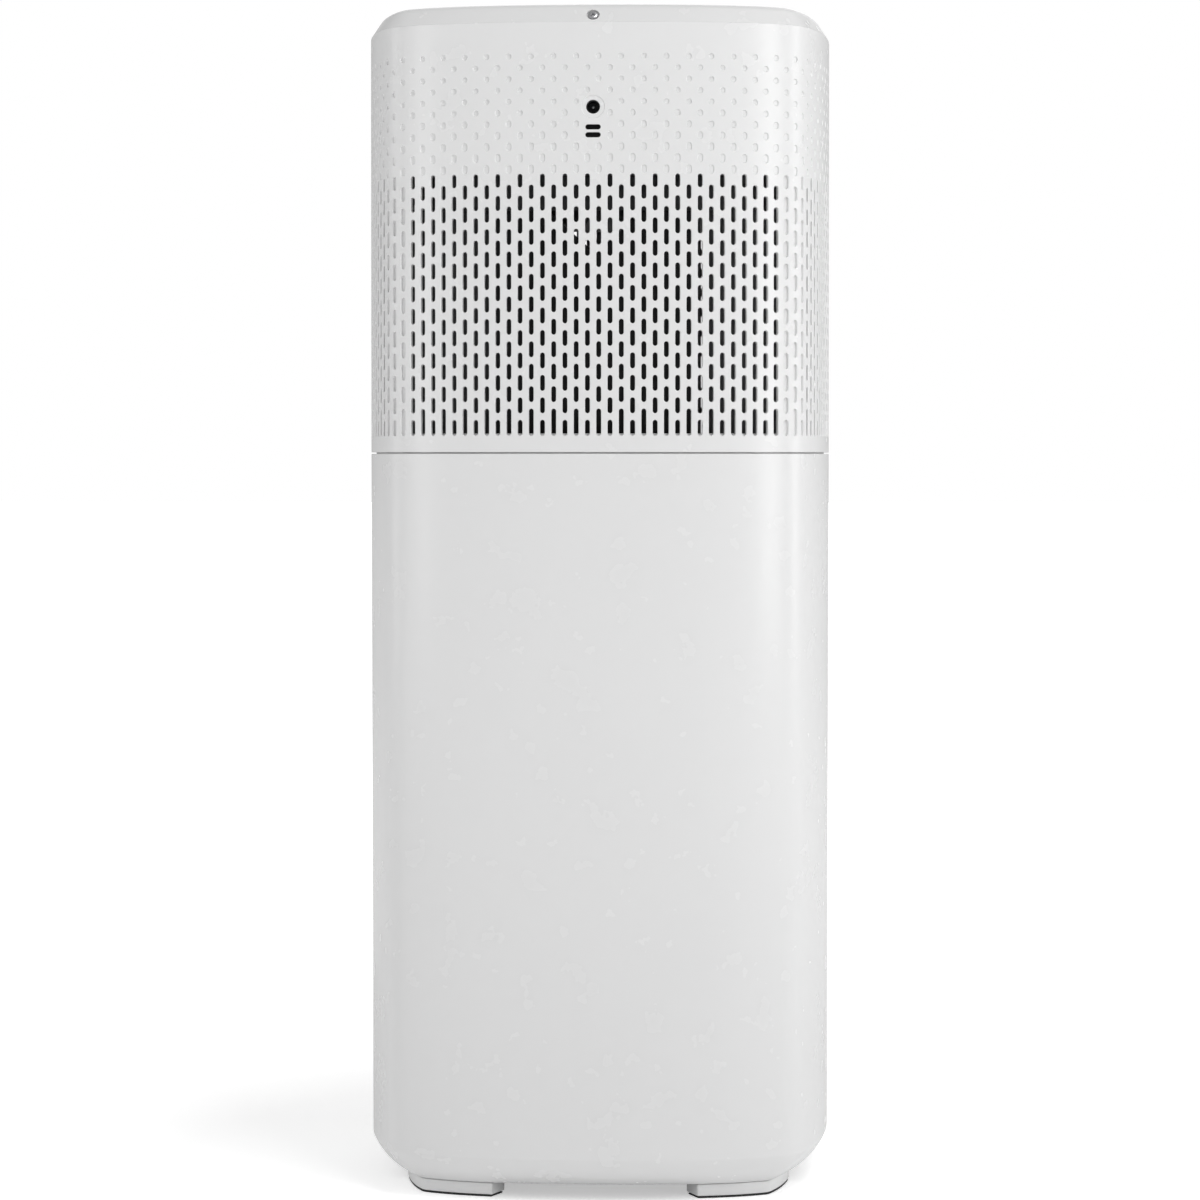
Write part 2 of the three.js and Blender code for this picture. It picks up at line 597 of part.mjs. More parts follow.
// ---- filter --------------------------------------------------------------------------------
const FILTER_HALF = 92.5;
const FILTER_BACK = 52;
const FILTER_FRONT = 104;
const FRAME_T = 3;
const INNER = FILTER_HALF - FRAME_T - GAP;      // room for the layers inside the frame
const INNER_LOW = FILTER_LOW + FRAME_T + GAP;
const INNER_HIGH = FILTER_HIGH - FRAME_T - GAP;
function filterFrame() {
  const body = box(-FILTER_HALF, FILTER_HALF, FILTER_BACK, FILTER_FRONT, FILTER_LOW, FILTER_HIGH);
  const half = FILTER_HALF - FRAME_T;
  const low = FILTER_LOW + FRAME_T;
  return cut(body, box(-half, half, FILTER_BACK - 5, FILTER_FRONT + 5, low, FILTER_HIGH - FRAME_T));
}
add('filter_frame', filterFrame(), PAPER);

const PLEATS = 22;
function media() {
  const shape = new THREE.Shape();
  const back = FILTER_BACK + 3;
  const front = FILTER_FRONT - 16;
  const thick = 2.4;
  const step = 2 * INNER / PLEATS;
  shape.moveTo(-INNER, back);
  for (let i = 0; i < PLEATS; i++) {
    shape.lineTo(-INNER + (i + 0.5) * step, front - thick);
    shape.lineTo(-INNER + (i + 1) * step, back);
  }
  for (let i = PLEATS; i > 0; i--) {
    shape.lineTo(-INNER + i * step, back + thick);
    shape.lineTo(-INNER + (i - 0.5) * step, front);
  }
  shape.lineTo(-INNER, back + thick);
  return new THREE.ExtrudeGeometry(shape, { depth: INNER_HIGH - INNER_LOW, bevelEnabled: false })
    .translate(0, 0, INNER_LOW);
}
add('filter_media', media(), PAPER);

const CARBON_BACK = FILTER_FRONT - 15.5;
const CARBON_FRONT = FILTER_FRONT - 5;
add('carbon_layer', box(-INNER, INNER, CARBON_BACK, CARBON_FRONT, INNER_LOW, INNER_HIGH), CARBON);

function prefilter() {
  const body = box(-INNER, INNER, CARBON_FRONT + 0.5, FILTER_FRONT - 2, INNER_LOW, INNER_HIGH);
  const windows = [];
  const columns = 4;
  const rows = 7;
  const bar = 3;
  const w = (2 * INNER - bar) / columns;
  const h = (INNER_HIGH - INNER_LOW - bar) / rows;
  for (let i = 0; i < columns; i++) {
    for (let j = 0; j < rows; j++) {
      const x = -INNER + bar + i * w;
      const z = INNER_LOW + bar + j * h;
      windows.push(box(x, x + w - bar, FILTER_FRONT - 10, FILTER_FRONT + 5, z, z + h - bar));
    }
  }
  return cut(body, ...windows);
}
add('prefilter', prefilter(), GREY);

function gasket() {
  const seal = 7;
  const half = FILTER_HALF - seal;
  const body = box(-FILTER_HALF, FILTER_HALF, FILTER_BACK - 4, FILTER_BACK - GAP, FILTER_LOW, FILTER_HIGH);
  const low = FILTER_LOW + seal;
  return cut(body, box(-half, half, FILTER_BACK - 10, FILTER_BACK + 5, low, FILTER_HIGH - seal));
}
add('filter_gasket', gasket(), FOAM);
const TAB = box(-13, 13, FILTER_FRONT + GAP, FILTER_FRONT + 1.5, FILTER_HIGH - 60, FILTER_HIGH - 4);
add('pull_tab', TAB, RIBBON);

// ---- front cover ---------------------------------------------------------------------------
// A magnet at each corner of the cover meets a steel keeper on the filter bay's front edge.
const MAGNETS = [
  ['low_left', -80, 44], ['low_right', 80, 44],
  ['high_left', -80, 389.5], ['high_right', 80, 389.5],
];
const MAGNET_BACK = BAY_FRONT + 2;
const MAGNET_FRONT = MAGNET_BACK + 4;
for (const [spot, x, z] of MAGNETS) {
  add(`keeper_${spot}`, rodY(4.5, BAY_FRONT + GAP, MAGNET_BACK - GAP, x, z, 12), STEEL);
  add(`cover_magnet_${spot}`, rodY(4, MAGNET_BACK, MAGNET_FRONT, x, z, 12), STEEL);
}

// A panel of the front face, with tall openings that stand for its staggered slots.
const INTAKE_LOW = 60;
const INTAKE_HIGH = 375;
const INTAKE_COLUMNS = 9;
const BOSS_R = 5.5;
const BOSS_FRONT = 119.5;
function frontCover() {
  const skin = solid(around([[0, DOOR_LOW], [0, DOOR_HIGH], [WALL, DOOR_HIGH], [WALL, DOOR_LOW]]));
  const front = box(-DOOR_HALF, DOOR_HALF, 60, OUTSIDE, DOOR_LOW - 5, DOOR_HIGH + 5);
  let cover = skin.intersect(solid(front));
  for (const [, x, z] of MAGNETS) {
    cover = cover.add(solid(rodY(BOSS_R, MAGNET_FRONT + GAP, BOSS_FRONT, x, z, 12)));
  }
  for (let i = 0; i < INTAKE_COLUMNS; i++) {
    const x = (i - (INTAKE_COLUMNS - 1) / 2) * OUTLET_STEP;
    cover = cover.subtract(solid(extrudeY(slotShape(OPENING_W, INTAKE_LOW, INTAKE_HIGH, x), 100, OUTSIDE)));
  }
  return geometryOf(cover);
}
add('front_cover', frontCover(), WHITE);

// ---- leads ---------------------------------------------------------------------------------
function lead(points, radius) {
  const curve = new THREE.CatmullRomCurve3(points.map((p) => new THREE.Vector3(...p)));
  const section = new THREE.Shape();
  section.absarc(0, 0, radius, 0, 2 * Math.PI, false);
  return new THREE.ExtrudeGeometry(section, { steps: 20, curveSegments: 4, extrudePath: curve });
}
const JACK_BACK = JACK_FACE + 15 + GAP;
const JACK_ROUTE = [
  [0, JACK_BACK, JACK_Z], [0, -85, JACK_Z + 4], [0, -50, 612], [0, -10, 626],
  [0, 14, BOARD_TOP - 14], [0, 20, BOARD_TOP - 9], [0, 20, BOARD_TOP - 2.4],
];
add('jack_lead', lead(JACK_ROUTE, 2), BLACK);

const LEAD_Y = MOTOR_BACK + 14;
const MOTOR_ROUTE = [
  [0, LEAD_Y, FAN_Z + 34.5], [0, LEAD_Y, FAN_Z + 46], [22, LEAD_Y, FAN_Z + 70],
  [54, -104, 350], [76, -98, 380], [76, -98, DECK_Z - 1.5],
];
add('motor_lead', lead(MOTOR_ROUTE, 2), BLACK);

export default part;
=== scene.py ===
# %% [markdown]
# # A tower air purifier, seen from behind
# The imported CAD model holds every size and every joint.  This script dresses it: it builds the
# moulded shells with their slots, the small hardware and the finishes, and leaves the frame as
# it is.  Each step below first says what the piece is and why it is made the way it is.

# %% Load the frame
import math

import bmesh
import bpy
from mathutils import Matrix, Vector


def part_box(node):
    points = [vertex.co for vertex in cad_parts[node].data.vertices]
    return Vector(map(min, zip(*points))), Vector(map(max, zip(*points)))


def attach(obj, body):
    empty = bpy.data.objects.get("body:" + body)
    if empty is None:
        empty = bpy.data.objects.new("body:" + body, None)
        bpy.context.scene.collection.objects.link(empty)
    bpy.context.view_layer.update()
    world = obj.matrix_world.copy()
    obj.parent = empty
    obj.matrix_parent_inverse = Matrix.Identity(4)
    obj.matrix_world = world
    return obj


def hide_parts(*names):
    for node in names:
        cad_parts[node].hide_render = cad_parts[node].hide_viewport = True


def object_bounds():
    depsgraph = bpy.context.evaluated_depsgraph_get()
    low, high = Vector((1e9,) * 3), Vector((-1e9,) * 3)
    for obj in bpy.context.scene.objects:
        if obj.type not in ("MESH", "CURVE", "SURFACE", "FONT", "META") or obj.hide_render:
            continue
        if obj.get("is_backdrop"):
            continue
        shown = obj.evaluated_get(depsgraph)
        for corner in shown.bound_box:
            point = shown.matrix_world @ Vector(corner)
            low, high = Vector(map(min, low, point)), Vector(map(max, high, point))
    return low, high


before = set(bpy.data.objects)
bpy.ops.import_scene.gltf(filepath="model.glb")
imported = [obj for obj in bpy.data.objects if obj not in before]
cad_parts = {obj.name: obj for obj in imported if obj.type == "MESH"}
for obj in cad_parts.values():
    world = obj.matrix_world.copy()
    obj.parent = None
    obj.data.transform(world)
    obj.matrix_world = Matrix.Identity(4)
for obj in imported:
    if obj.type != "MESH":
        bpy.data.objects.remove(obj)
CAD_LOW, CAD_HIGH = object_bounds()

MM = 0.001
print("CAD box", [round(v / MM, 1) for v in (*CAD_LOW, *CAD_HIGH)])

# %% [markdown]
# ## Camera
# The view is almost square on to the back of the case, a little to the right of its middle and
# a little above it.  A long lens two metres away keeps the tall sides nearly parallel without a
# lens shift, so the object also stays in the middle of every other view.

# %% Camera
AIM = Vector((-0.001, 0.0, 0.3243))
CAMERA_AZIMUTH = math.radians(2.1)
CAMERA_RISE = math.radians(2.34)
CAMERA_DISTANCE = 1.997


def direction(azimuth, rise):
    """Unit vector towards an observer: azimuth 0 stands behind the case and 90 on its right."""
    level = math.cos(rise)
    return Vector((math.sin(azimuth) * level, -math.cos(azimuth) * level, math.sin(rise)))


def look(obj, target):
    """Turns an object's -Z axis towards a point."""
    obj.rotation_euler = (target - obj.location).to_track_quat("-Z", "Y").to_euler()


lens = bpy.data.cameras.new("camera")
lens.lens = 103.9
lens.sensor_width = 36
camera = bpy.data.objects.new("camera", lens)
camera.location = AIM + CAMERA_DISTANCE * direction(CAMERA_AZIMUTH, CAMERA_RISE)
look(camera, AIM)
bpy.context.scene.collection.objects.link(camera)
bpy.context.scene.camera = camera
print("camera at", [round(v, 3) for v in camera.location])

# %% [markdown]
# ## Node trees as Python expressions
# Materials and Geometry Nodes are both trees of nodes.  Wiring them by hand is long, so a Wire
# stands for one socket, and the usual operators on Wires add Math nodes.  Every other node
# comes from one method, add(), which sets a node's options first and then its sockets.

# %% Wires and graphs
class Wire:
    """One output socket of a node tree."""

    def __init__(self, graph, socket):
        self.graph = graph
        self.socket = socket

    def math(self, operation, *others):
        return self.graph.add("ShaderNodeMath", {"operation": operation}, self, *others)

    def out(self, name):
        """Another output of the same node."""
        return Wire(self.graph, self.socket.node.outputs[name])

    def __add__(self, other):
        return self.math("ADD", other)

    def __sub__(self, other):
        return self.math("SUBTRACT", other)

    def __rsub__(self, other):
        return self.graph.add("ShaderNodeMath", {"operation": "SUBTRACT"}, other, self)

    def __mul__(self, other):
        return self.math("MULTIPLY", other)

    def __truediv__(self, other):
        return self.math("DIVIDE", other)

    def __mod__(self, other):
        return self.math("FLOORED_MODULO", other)

    def __pow__(self, other):
        return self.math("POWER", other)

    def __lt__(self, other):
        return self.math("LESS_THAN", other)

    def __gt__(self, other):
        return self.math("GREATER_THAN", other)

    def __abs__(self):
        return self.math("ABSOLUTE")

    __radd__ = __add__
    __rmul__ = __mul__


class Graph:
    """A node tree, and the one method that adds any node to it."""

    def __init__(self, tree):
        self.tree = tree

    def add(self, kind, settings=None, *values, out=0, **named):
        node = self.tree.nodes.new(kind)
        for key, value in (settings or {}).items():
            setattr(node, key, value)
        sockets = [(node.inputs[i], v) for i, v in enumerate(values)]
        sockets += [(node.inputs[k.replace("_", " ")], v) for k, v in named.items()]
        for socket, value in sockets:
            if isinstance(value, Wire):
                self.tree.links.new(value.socket, socket)
            elif value is not None:
                socket.default_value = value
        return Wire(self, node.outputs[out])

    def split(self, vector):
        node = self.add("ShaderNodeSeparateXYZ", None, vector)
        return node, node.out("Y"), node.out("Z")

    def vector(self, x, y, z):
        return self.add("ShaderNodeCombineXYZ", None, x, y, z)


print("graph tools ready")

# %% [markdown]
# ## Studio
# A pale floor that fades into a white surround.  Two tall narrow soft boxes stand to the left and
# the right of the back face, so that each bowed edge of the case carries one long soft highlight,
# and the right one is the stronger.  Two wide ones light the sides, a small high one on the right
# shades the dimples, and the last lights the front.  The surround and the floor light the object
# less than they show to the camera, because their full white would wash out its shading.

# %% Surround and floor
SURROUND_FILL = 0.38
FLOOR_NEAR = 0.25     # metres from the axis where the floor starts to fade to white
FLOOR_FAR = 0.8
FLOOR_GLOW = 0.45     # its glow near the object, of 1 far away
FLOOR_FILL = 0.25     # share of the glow that reaches the object


def surround():
    world = bpy.data.worlds.new("white_surround")
    world.use_nodes = True
    graph = Graph(world.node_tree)
    seen = graph.add("ShaderNodeLightPath", out="Is Camera Ray")
    background = world.node_tree.nodes["Background"]
    strength = seen * (1.0 - SURROUND_FILL) + SURROUND_FILL
    world.node_tree.links.new(strength.socket, background.inputs["Strength"])
    background.inputs["Color"].default_value = (1, 1, 1, 1)
    bpy.context.scene.world = world


def studio_floor():
    mesh = bpy.data.meshes.new("studio_floor")
    side = 30
    corners = [(-side, -side, 0), (side, -side, 0), (side, side, 0), (-side, side, 0)]
    mesh.from_pydata(corners, [], [(0, 1, 2, 3)])
    floor = bpy.data.objects.new("studio_floor", mesh)
    paint = bpy.data.materials.new("studio_white")
    paint.use_nodes = True
    graph = Graph(paint.node_tree)
    shader = paint.node_tree.nodes["Principled BSDF"]
    shader.inputs["Base Color"].default_value = (0.9, 0.9, 0.9, 1)
    shader.inputs["Roughness"].default_value = 0.9
    shader.inputs["Emission Strength"].default_value = 1.0
    x, y, _ = graph.split(graph.add("ShaderNodeTexCoord", out="Object"))
    away = ((x * x + y * y) ** 0.5 - FLOOR_NEAR) / (FLOOR_FAR - FLOOR_NEAR)
    glow = away.math("MAXIMUM", 0.0).math("MINIMUM", 1.0) * (1 - FLOOR_GLOW) + FLOOR_GLOW
    seen = graph.add("ShaderNodeLightPath", out="Is Camera Ray")
    glow = glow * (seen * (1.0 - FLOOR_FILL) + FLOOR_FILL)
    graph.tree.links.new(graph.vector(glow, glow, glow).socket, shader.inputs["Emission Color"])
    mesh.materials.append(paint)
    bpy.context.scene.collection.objects.link(floor)
    floor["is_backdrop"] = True


surround()
studio_floor()
bpy.context.scene.view_settings.view_transform = "Standard"
print("surround fill", SURROUND_FILL)

# %% Soft boxes
def soft_box(name, azimuth, rise, distance, width, height, power):
    light = bpy.data.lights.new(name, "AREA")
    light.shape = "RECTANGLE"
    light.size = width
    light.size_y = height
    light.energy = power
    box = bpy.data.objects.new(name, light)
    box.location = AIM + distance * direction(math.radians(azimuth), math.radians(rise))
    look(box, AIM)
    bpy.context.scene.collection.objects.link(box)


soft_box("right_box", 45, 6, 2.4, 0.3, 2.2, 13)
soft_box("left_box", -46, 6, 2.4, 0.2, 2.2, 6)
soft_box("right_wall", 88, 8, 2.2, 0.8, 2.0, 9)
soft_box("left_wall", -88, 8, 2.2, 0.8, 2.0, 6)
soft_box("high_box", 32, 52, 2.4, 0.7, 0.7, 13.5)
soft_box("front_box", 180, 35, 2.6, 1.6, 1.6, 5)

# %% [markdown]
# ## The plan outline of the case
# Seen from above, the case is a square with bowed sides.  Each side turns slowly near its
# middle and faster towards its edge, and a tight arc joins two sides.  One function gives the
# point at any distance round the case, at any inset and height, so every shell and every slot
# follows the same curve.

# %% Outline
HALF = -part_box("base_shell")[0].y
PITCH = 6.08 * MM
CREASE = 17.1 * PITCH
BOW_LINEAR = 0.165
BOW_CUBIC = 0.289
CORNER_R = 27.1 * MM
DEEPEST = 20 * MM
BARREL = 0.0036
BARREL_Z = 0.25


def side_table(steps=400):
    """Points (arc, x, depth, angle) from the middle of a side to the corner's middle."""
    corner_turn = math.pi / 4 - BOW_LINEAR - BOW_CUBIC
    corner_steps = 60
    table = [(0.0, 0.0, 0.0, 0.0)]
    step = CREASE / steps
    x = depth = 0.0
    for i in range(steps):
        share = (i + 0.5) / steps
        angle = BOW_LINEAR * share + BOW_CUBIC * share**3
        x += math.cos(angle) * step
        depth += math.sin(angle) * step
        share = (i + 1) / steps
        table.append(((i + 1) * step, x, depth, BOW_LINEAR * share + BOW_CUBIC * share**3))
    start = table[-1][3]
    for i in range(1, corner_steps + 1):
        angle = start + corner_turn * i / corner_steps
        table.append((
            CREASE + CORNER_R * (angle - start),
            x + CORNER_R * (math.sin(angle) - math.sin(start)),
            depth + CORNER_R * (math.cos(start) - math.cos(angle)),
            angle,
        ))
    return table


SIDE = side_table()
SIDE_ARC = 2 * SIDE[-1][0]
ROUND = 4 * SIDE_ARC


def outline(arc):
    """(point, outward normal) on the outline; arc 0 is the middle of the back, going to +X."""
    quarter = round(arc / SIDE_ARC)
    local = arc - quarter * SIDE_ARC
    low, high = 0, len(SIDE) - 1
    while high - low > 1:
        middle = (low + high) // 2
        if SIDE[middle][0] <= abs(local):
            low = middle
        else:
            high = middle
    a, b = SIDE[low], SIDE[high]
    t = min(1.0, (abs(local) - a[0]) / (b[0] - a[0]))
    x, depth, angle = (a[i] + t * (b[i] - a[i]) for i in (1, 2, 3))
    sign = 1 if local >= 0 else -1
    turned = Matrix.Rotation(quarter * math.pi / 2, 3, "Z")
    point = turned @ Vector((sign * x, depth - HALF, 0))
    normal = turned @ Vector((sign * math.sin(angle), -math.cos(angle), 0))
    return point, normal


def barrel(height):
    """The case is a hair narrower at its top and bottom than at its middle."""
    return 1 - BARREL * ((height - BARREL_Z) / (CAD_HIGH.z - BARREL_Z)) ** 2


def case_point(arc, inset, height):
    point, normal = outline(arc)
    square = min(inset, DEEPEST)
    shrink = (HALF - inset) / (HALF - square) * barrel(height)
    flat = (point - square * normal) * shrink
    return Vector((flat.x, flat.y, height))


print("once round the case", round(ROUND / MM, 1), "mm")

# %% [markdown]
# ## Pieces
# A few helpers turn points into finished pieces.  A sweep carries a profile of (inset, height)
# pairs round the outline, which is how the plain shells are made.  carve() cuts one shape
# out of another and keeps the plain result.  keep() shades a piece, gives it its material,
# tells the frame which body it rides on and hides the CAD nodes that it stands for.

# %% Piece helpers
def object_from(name, mesh):
    obj = bpy.data.objects.new(name, mesh)
    bpy.context.scene.collection.objects.link(obj)
    return obj


def mesh_from(name, points, faces):
    mesh = bpy.data.meshes.new(name)
    mesh.from_pydata([tuple(p) for p in points], [], faces)
    return mesh


def tidy(mesh):
    """Merges doubles and turns the faces outwards."""
    work = bmesh.new()
    work.from_mesh(mesh)
    bmesh.ops.remove_doubles(work, verts=work.verts, dist=0.004 * MM)
    bmesh.ops.recalc_face_normals(work, faces=work.faces)
    work.to_mesh(mesh)
    work.free()
    return mesh


def sweep(name, profile, step=2.0 * MM):
    """A ring: the closed profile of (inset, height) pairs carried once round the outline."""
    count = round(ROUND / step / 8) * 8
    points = [case_point(ROUND * i / count, inset, z) for inset, z in profile for i in range(count)]
    rows = len(profile)
    faces = []
    for r in range(rows):
        for i in range(count):
            j = (i + 1) % count
            s = (r + 1) % rows
            faces.append((r * count + i, r * count + j, s * count + j, s * count + i))
    return object_from(name, tidy(mesh_from(name, points, faces)))


def baked(obj):
    """Applies an object's modifiers and keeps the plain mesh."""
    depsgraph = bpy.context.evaluated_depsgraph_get()
    mesh = bpy.data.meshes.new_from_object(obj.evaluated_get(depsgraph))
    mesh.name = obj.name
    obj.modifiers.clear()
    obj.data = mesh
    return obj


def discard(*objects):
    for obj in objects:
        bpy.data.objects.remove(obj)


def carve(obj, *cutters, operation="DIFFERENCE"):
    for cutter in cutters:
        modifier = obj.modifiers.new("cut", "BOOLEAN")
        modifier.operation = operation
        modifier.solver = "EXACT"
        modifier.object = cutter
    baked(obj)
    discard(*cutters)
    return obj


def keep(obj, body, material, replaces=(), sharp=28):
    """Shades a piece, gives it a finish and hands it to the frame."""
    mesh = obj.data
    mesh.materials.clear()
    mesh.materials.append(material)
    mesh.polygons.foreach_set("material_index", [0] * len(mesh.polygons))
    mesh.shade_smooth()
    mesh.set_sharp_from_angle(angle=math.radians(sharp))
    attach(obj, body)
    if replaces:
        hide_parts(*replaces)
    triangles = sum(len(p.vertices) - 2 for p in mesh.polygons)
    print(f"{obj.name}: {triangles} triangles on {body}")
    return obj


def block(name, low, high):
    mesh = bpy.data.meshes.new(name)
    work = bmesh.new()
    bmesh.ops.create_cube(work, size=1)
    size = Vector(high) - Vector(low)
    middle = (Vector(high) + Vector(low)) / 2
    place = Matrix.Translation(middle) @ Matrix.Diagonal((*size, 1))
    bmesh.ops.transform(work, matrix=place, verts=work.verts)
    work.to_mesh(mesh)
    work.free()
    return object_from(name, mesh)


def turned(name, profile, sides=48, place=Matrix.Identity(4)):
    """A solid of revolution about Z: (radius, height) pairs from axis to axis, then placed."""
    points, faces = [], []
    for radius, height in profile:
        for i in range(sides):
            a = 2 * math.pi * i / sides
            points.append(place @ Vector((radius * math.cos(a), radius * math.sin(a), height)))
    for r in range(len(profile) - 1):
        for i in range(sides):
            j = (i + 1) % sides
            faces.append((r * sides + i, r * sides + j, (r + 1) * sides + j, (r + 1) * sides + i))
    return object_from(name, tidy(mesh_from(name, points, faces)))


def cylinder(name, radius, low, high, sides, place):
    return turned(name, [(0, low), (radius, low), (radius, high), (0, high)], sides, place)


print("piece helpers ready")

# %% [markdown]
# ## White moulded plastic
# The case is satin ABS.  Its surface is very slightly wavy, its gloss varies a little from place
# to place, and its white is not quite even.  Noise at three sizes gives these: the small one
# goes to a Bump node, the middle one to the roughness and the slow one to the colour.

# %% Finish class and the white plastic
class Finish(Graph):
    """A material: a Principled shader whose sockets take Wires or constants."""

    def __init__(self, name, **constants):
        self.material = bpy.data.materials.new(name)
        self.material.use_nodes = True
        super().__init__(self.material.node_tree)
        self.tree.nodes.clear()
        self.shader = self.tree.nodes.new("ShaderNodeBsdfPrincipled")
        output = self.tree.nodes.new("ShaderNodeOutputMaterial")
        self.tree.links.new(self.shader.outputs[0], output.inputs[0])
        self.feed(**constants)
        self.place = self.add("ShaderNodeTexCoord", out="Object")

    def feed(self, **values):
        for key, value in values.items():
            socket = self.shader.inputs[key.replace("_", " ")]
            if isinstance(value, Wire):
                self.tree.links.new(value.socket, socket)
            else:
                socket.default_value = (*value, 1) if isinstance(value, tuple) else value

    def noise(self, size, detail=2.0, roughness=0.5, place=None):
        """Noise from 0 to 1 whose blobs are about one size across."""
        return self.add(
            "ShaderNodeTexNoise", {"noise_dimensions": "3D"}, Vector=place or self.place,
            Scale=1 / size, Detail=detail, Roughness=roughness)

    def between(self, factor, a, b):
        """A colour that goes from a to b with factor."""
        mixed = self.add("ShaderNodeMix", {"data_type": "RGBA"}, out=2)
        node = mixed.socket.node
        self.tree.links.new(factor.socket, node.inputs[0])
        for index, shade in ((6, a), (7, b)):
            if isinstance(shade, Wire):
                self.tree.links.new(shade.socket, node.inputs[index])
            else:
                node.inputs[index].default_value = (*shade, 1)
        return mixed

    def relief(self, height, depth):
        """Feeds a height from 0 to 1 to the Normal as a relief that is depth high."""
        self.feed(Normal=self.add("ShaderNodeBump", None, Strength=1.0, Distance=depth, Height=height))


def moulded(name, dark, light, roughness, grain=1.6 * MM, grain_depth=0.003 * MM, gloss_change=0.03):
    finish = Finish(name)
    finish.feed(Base_Color=finish.between(finish.noise(90 * MM, 3), dark, light))
    finish.feed(Roughness=finish.noise(14 * MM, 3) * gloss_change + (roughness - gloss_change / 2))
    finish.relief(finish.noise(grain, 1), grain_depth)
    return finish.material


WHITE_PLASTIC = moulded("white_plastic", (0.808, 0.809, 0.81), (0.82, 0.821, 0.821), 0.27)
print("made", WHITE_PLASTIC.name)

# %% [markdown]
# ## The slotted shells
# The head and the front cover are covered with rows of rounded slots in staggered columns, and
# above them small dimples take over.  Cutting two thousand holes with Booleans would be slow
# and ragged.  Instead each slot brings its own small tile of wall: a tile has the slot's rim,
# its chamfer, its inner wall and six corner points that fit its neighbours.  Geometry Nodes
# lays the tiles out on a flat sheet, stretches each to its row, wraps the sheet round the
# outline and merges it into one skin.

# %% Tiles
WALL = 2.6 * MM
SLOT_HALF_W = 1.305 * MM
DIMPLE_HALF_W = 1.62 * MM
END_STEPS = 5


def tile(name, radius, rings, open_through, back=WALL):
    """One tile of wall.  Each point's level says which height of its row it belongs to:
    0 tile bottom, 1 slot bottom, 2 tile middle, 3 slot top, 4 tile top.  rings are
    (radius, depth) steps from the rim inwards.  X is in columns, Y is depth, Z is local."""
    points, levels, faces = [], [], []

    def corner_loop(depth):
        first = len(points)
        for x, level in ((0.5, 4), (-0.5, 4), (-0.5, 2), (-0.5, 0), (0.5, 0), (0.5, 2)):
            points.append((x, depth, 0))
            levels.append(level)
        return first

    def slot_loop(ring_radius, depth):
        first = len(points)
        for end in (0, 1):
            for i in range(END_STEPS + 1):
                a = math.pi * (i / END_STEPS + end)
                height = ring_radius * math.sin(a) + (radius if end else -radius)
                points.append((ring_radius * math.cos(a) / PITCH, depth, height))
                levels.append(1 if end else 3)
        return first

    def wall_faces(c, s):
        """Faces between the corner points from c and the slot points from s."""
        for end in (0, 1):
            a, b, d = (c + (3 * end + k) % 6 for k in (5, 0, 1))
            far = c + (3 * end + 2) % 6
            p = [s + 6 * end + i for i in range(6)]
            faces.extend([(a, b, p[1], p[0]), (b, p[2], p[1]), (b, d, p[3], p[2]), (d, p[4], p[3])])
            faces.extend([(d, far, p[5], p[4]), (far, s + (6 * end + 6) % 12, p[5])])

    slot_points = 2 * (END_STEPS + 1)
    outer = corner_loop(0)
    if not rings:
        faces.append(tuple(outer + i for i in range(6)))
    loops = [slot_loop(*ring) for ring in rings]
    if loops:
        wall_faces(outer, loops[0])
    for a, b in zip(loops, loops[1:]):
        for i in range(slot_points):
            j = (i + 1) % slot_points
            faces.append((a + i, a + j, b + j, b + i))
    inner = corner_loop(back)
    if open_through:
        wall_faces(inner, loops[-1])
    else:
        faces.append(tuple(inner + i for i in range(6)))
        if loops:
            faces.append(tuple(loops[-1] + i for i in range(slot_points)))
    mesh = mesh_from(name, points, faces)
    level = mesh.attributes.new("level", "FLOAT", "POINT")
    level.data.foreach_set("value", [float(v) for v in levels])
    return object_from(name, mesh)


CHAMFER = 0.32 * MM
BLIND_DEPTH = 1.5 * MM
DIMPLE_DEPTH = 0.75 * MM
SLOT_RIM = [(SLOT_HALF_W + CHAMFER, 0), (SLOT_HALF_W, CHAMFER)]
DIMPLE_RINGS = [(DIMPLE_HALF_W, 0), (DIMPLE_HALF_W * 0.7, DIMPLE_DEPTH)]
TILES = {
    "Slot": tile("slot_tile", SLOT_HALF_W, [*SLOT_RIM, (SLOT_HALF_W, WALL)], True),
    "Blind": tile("blind_tile", SLOT_HALF_W, [*SLOT_RIM, (SLOT_HALF_W, BLIND_DEPTH)], False),
    "Dimple": tile("dimple_tile", DIMPLE_HALF_W, DIMPLE_RINGS, False),
    "Plain": tile("plain_tile", 0, [], False),
}
for kind, obj in TILES.items():
    print(kind, "tile has", len(obj.data.polygons), "faces")

# %% [markdown]
# The tree numbers the tiles by column and row.  Odd columns are half a slot lower than even
# ones, so a tile's row number k is twice its step down the column, plus one on odd columns, and
# its height falls by half a slot pitch for each k.  The first rows hold dimples that grow
# downwards, the rest hold slots.  Three columns on each corner of the case are closed slots.
# The columns stand evenly along each side and stretch slightly round the corners.

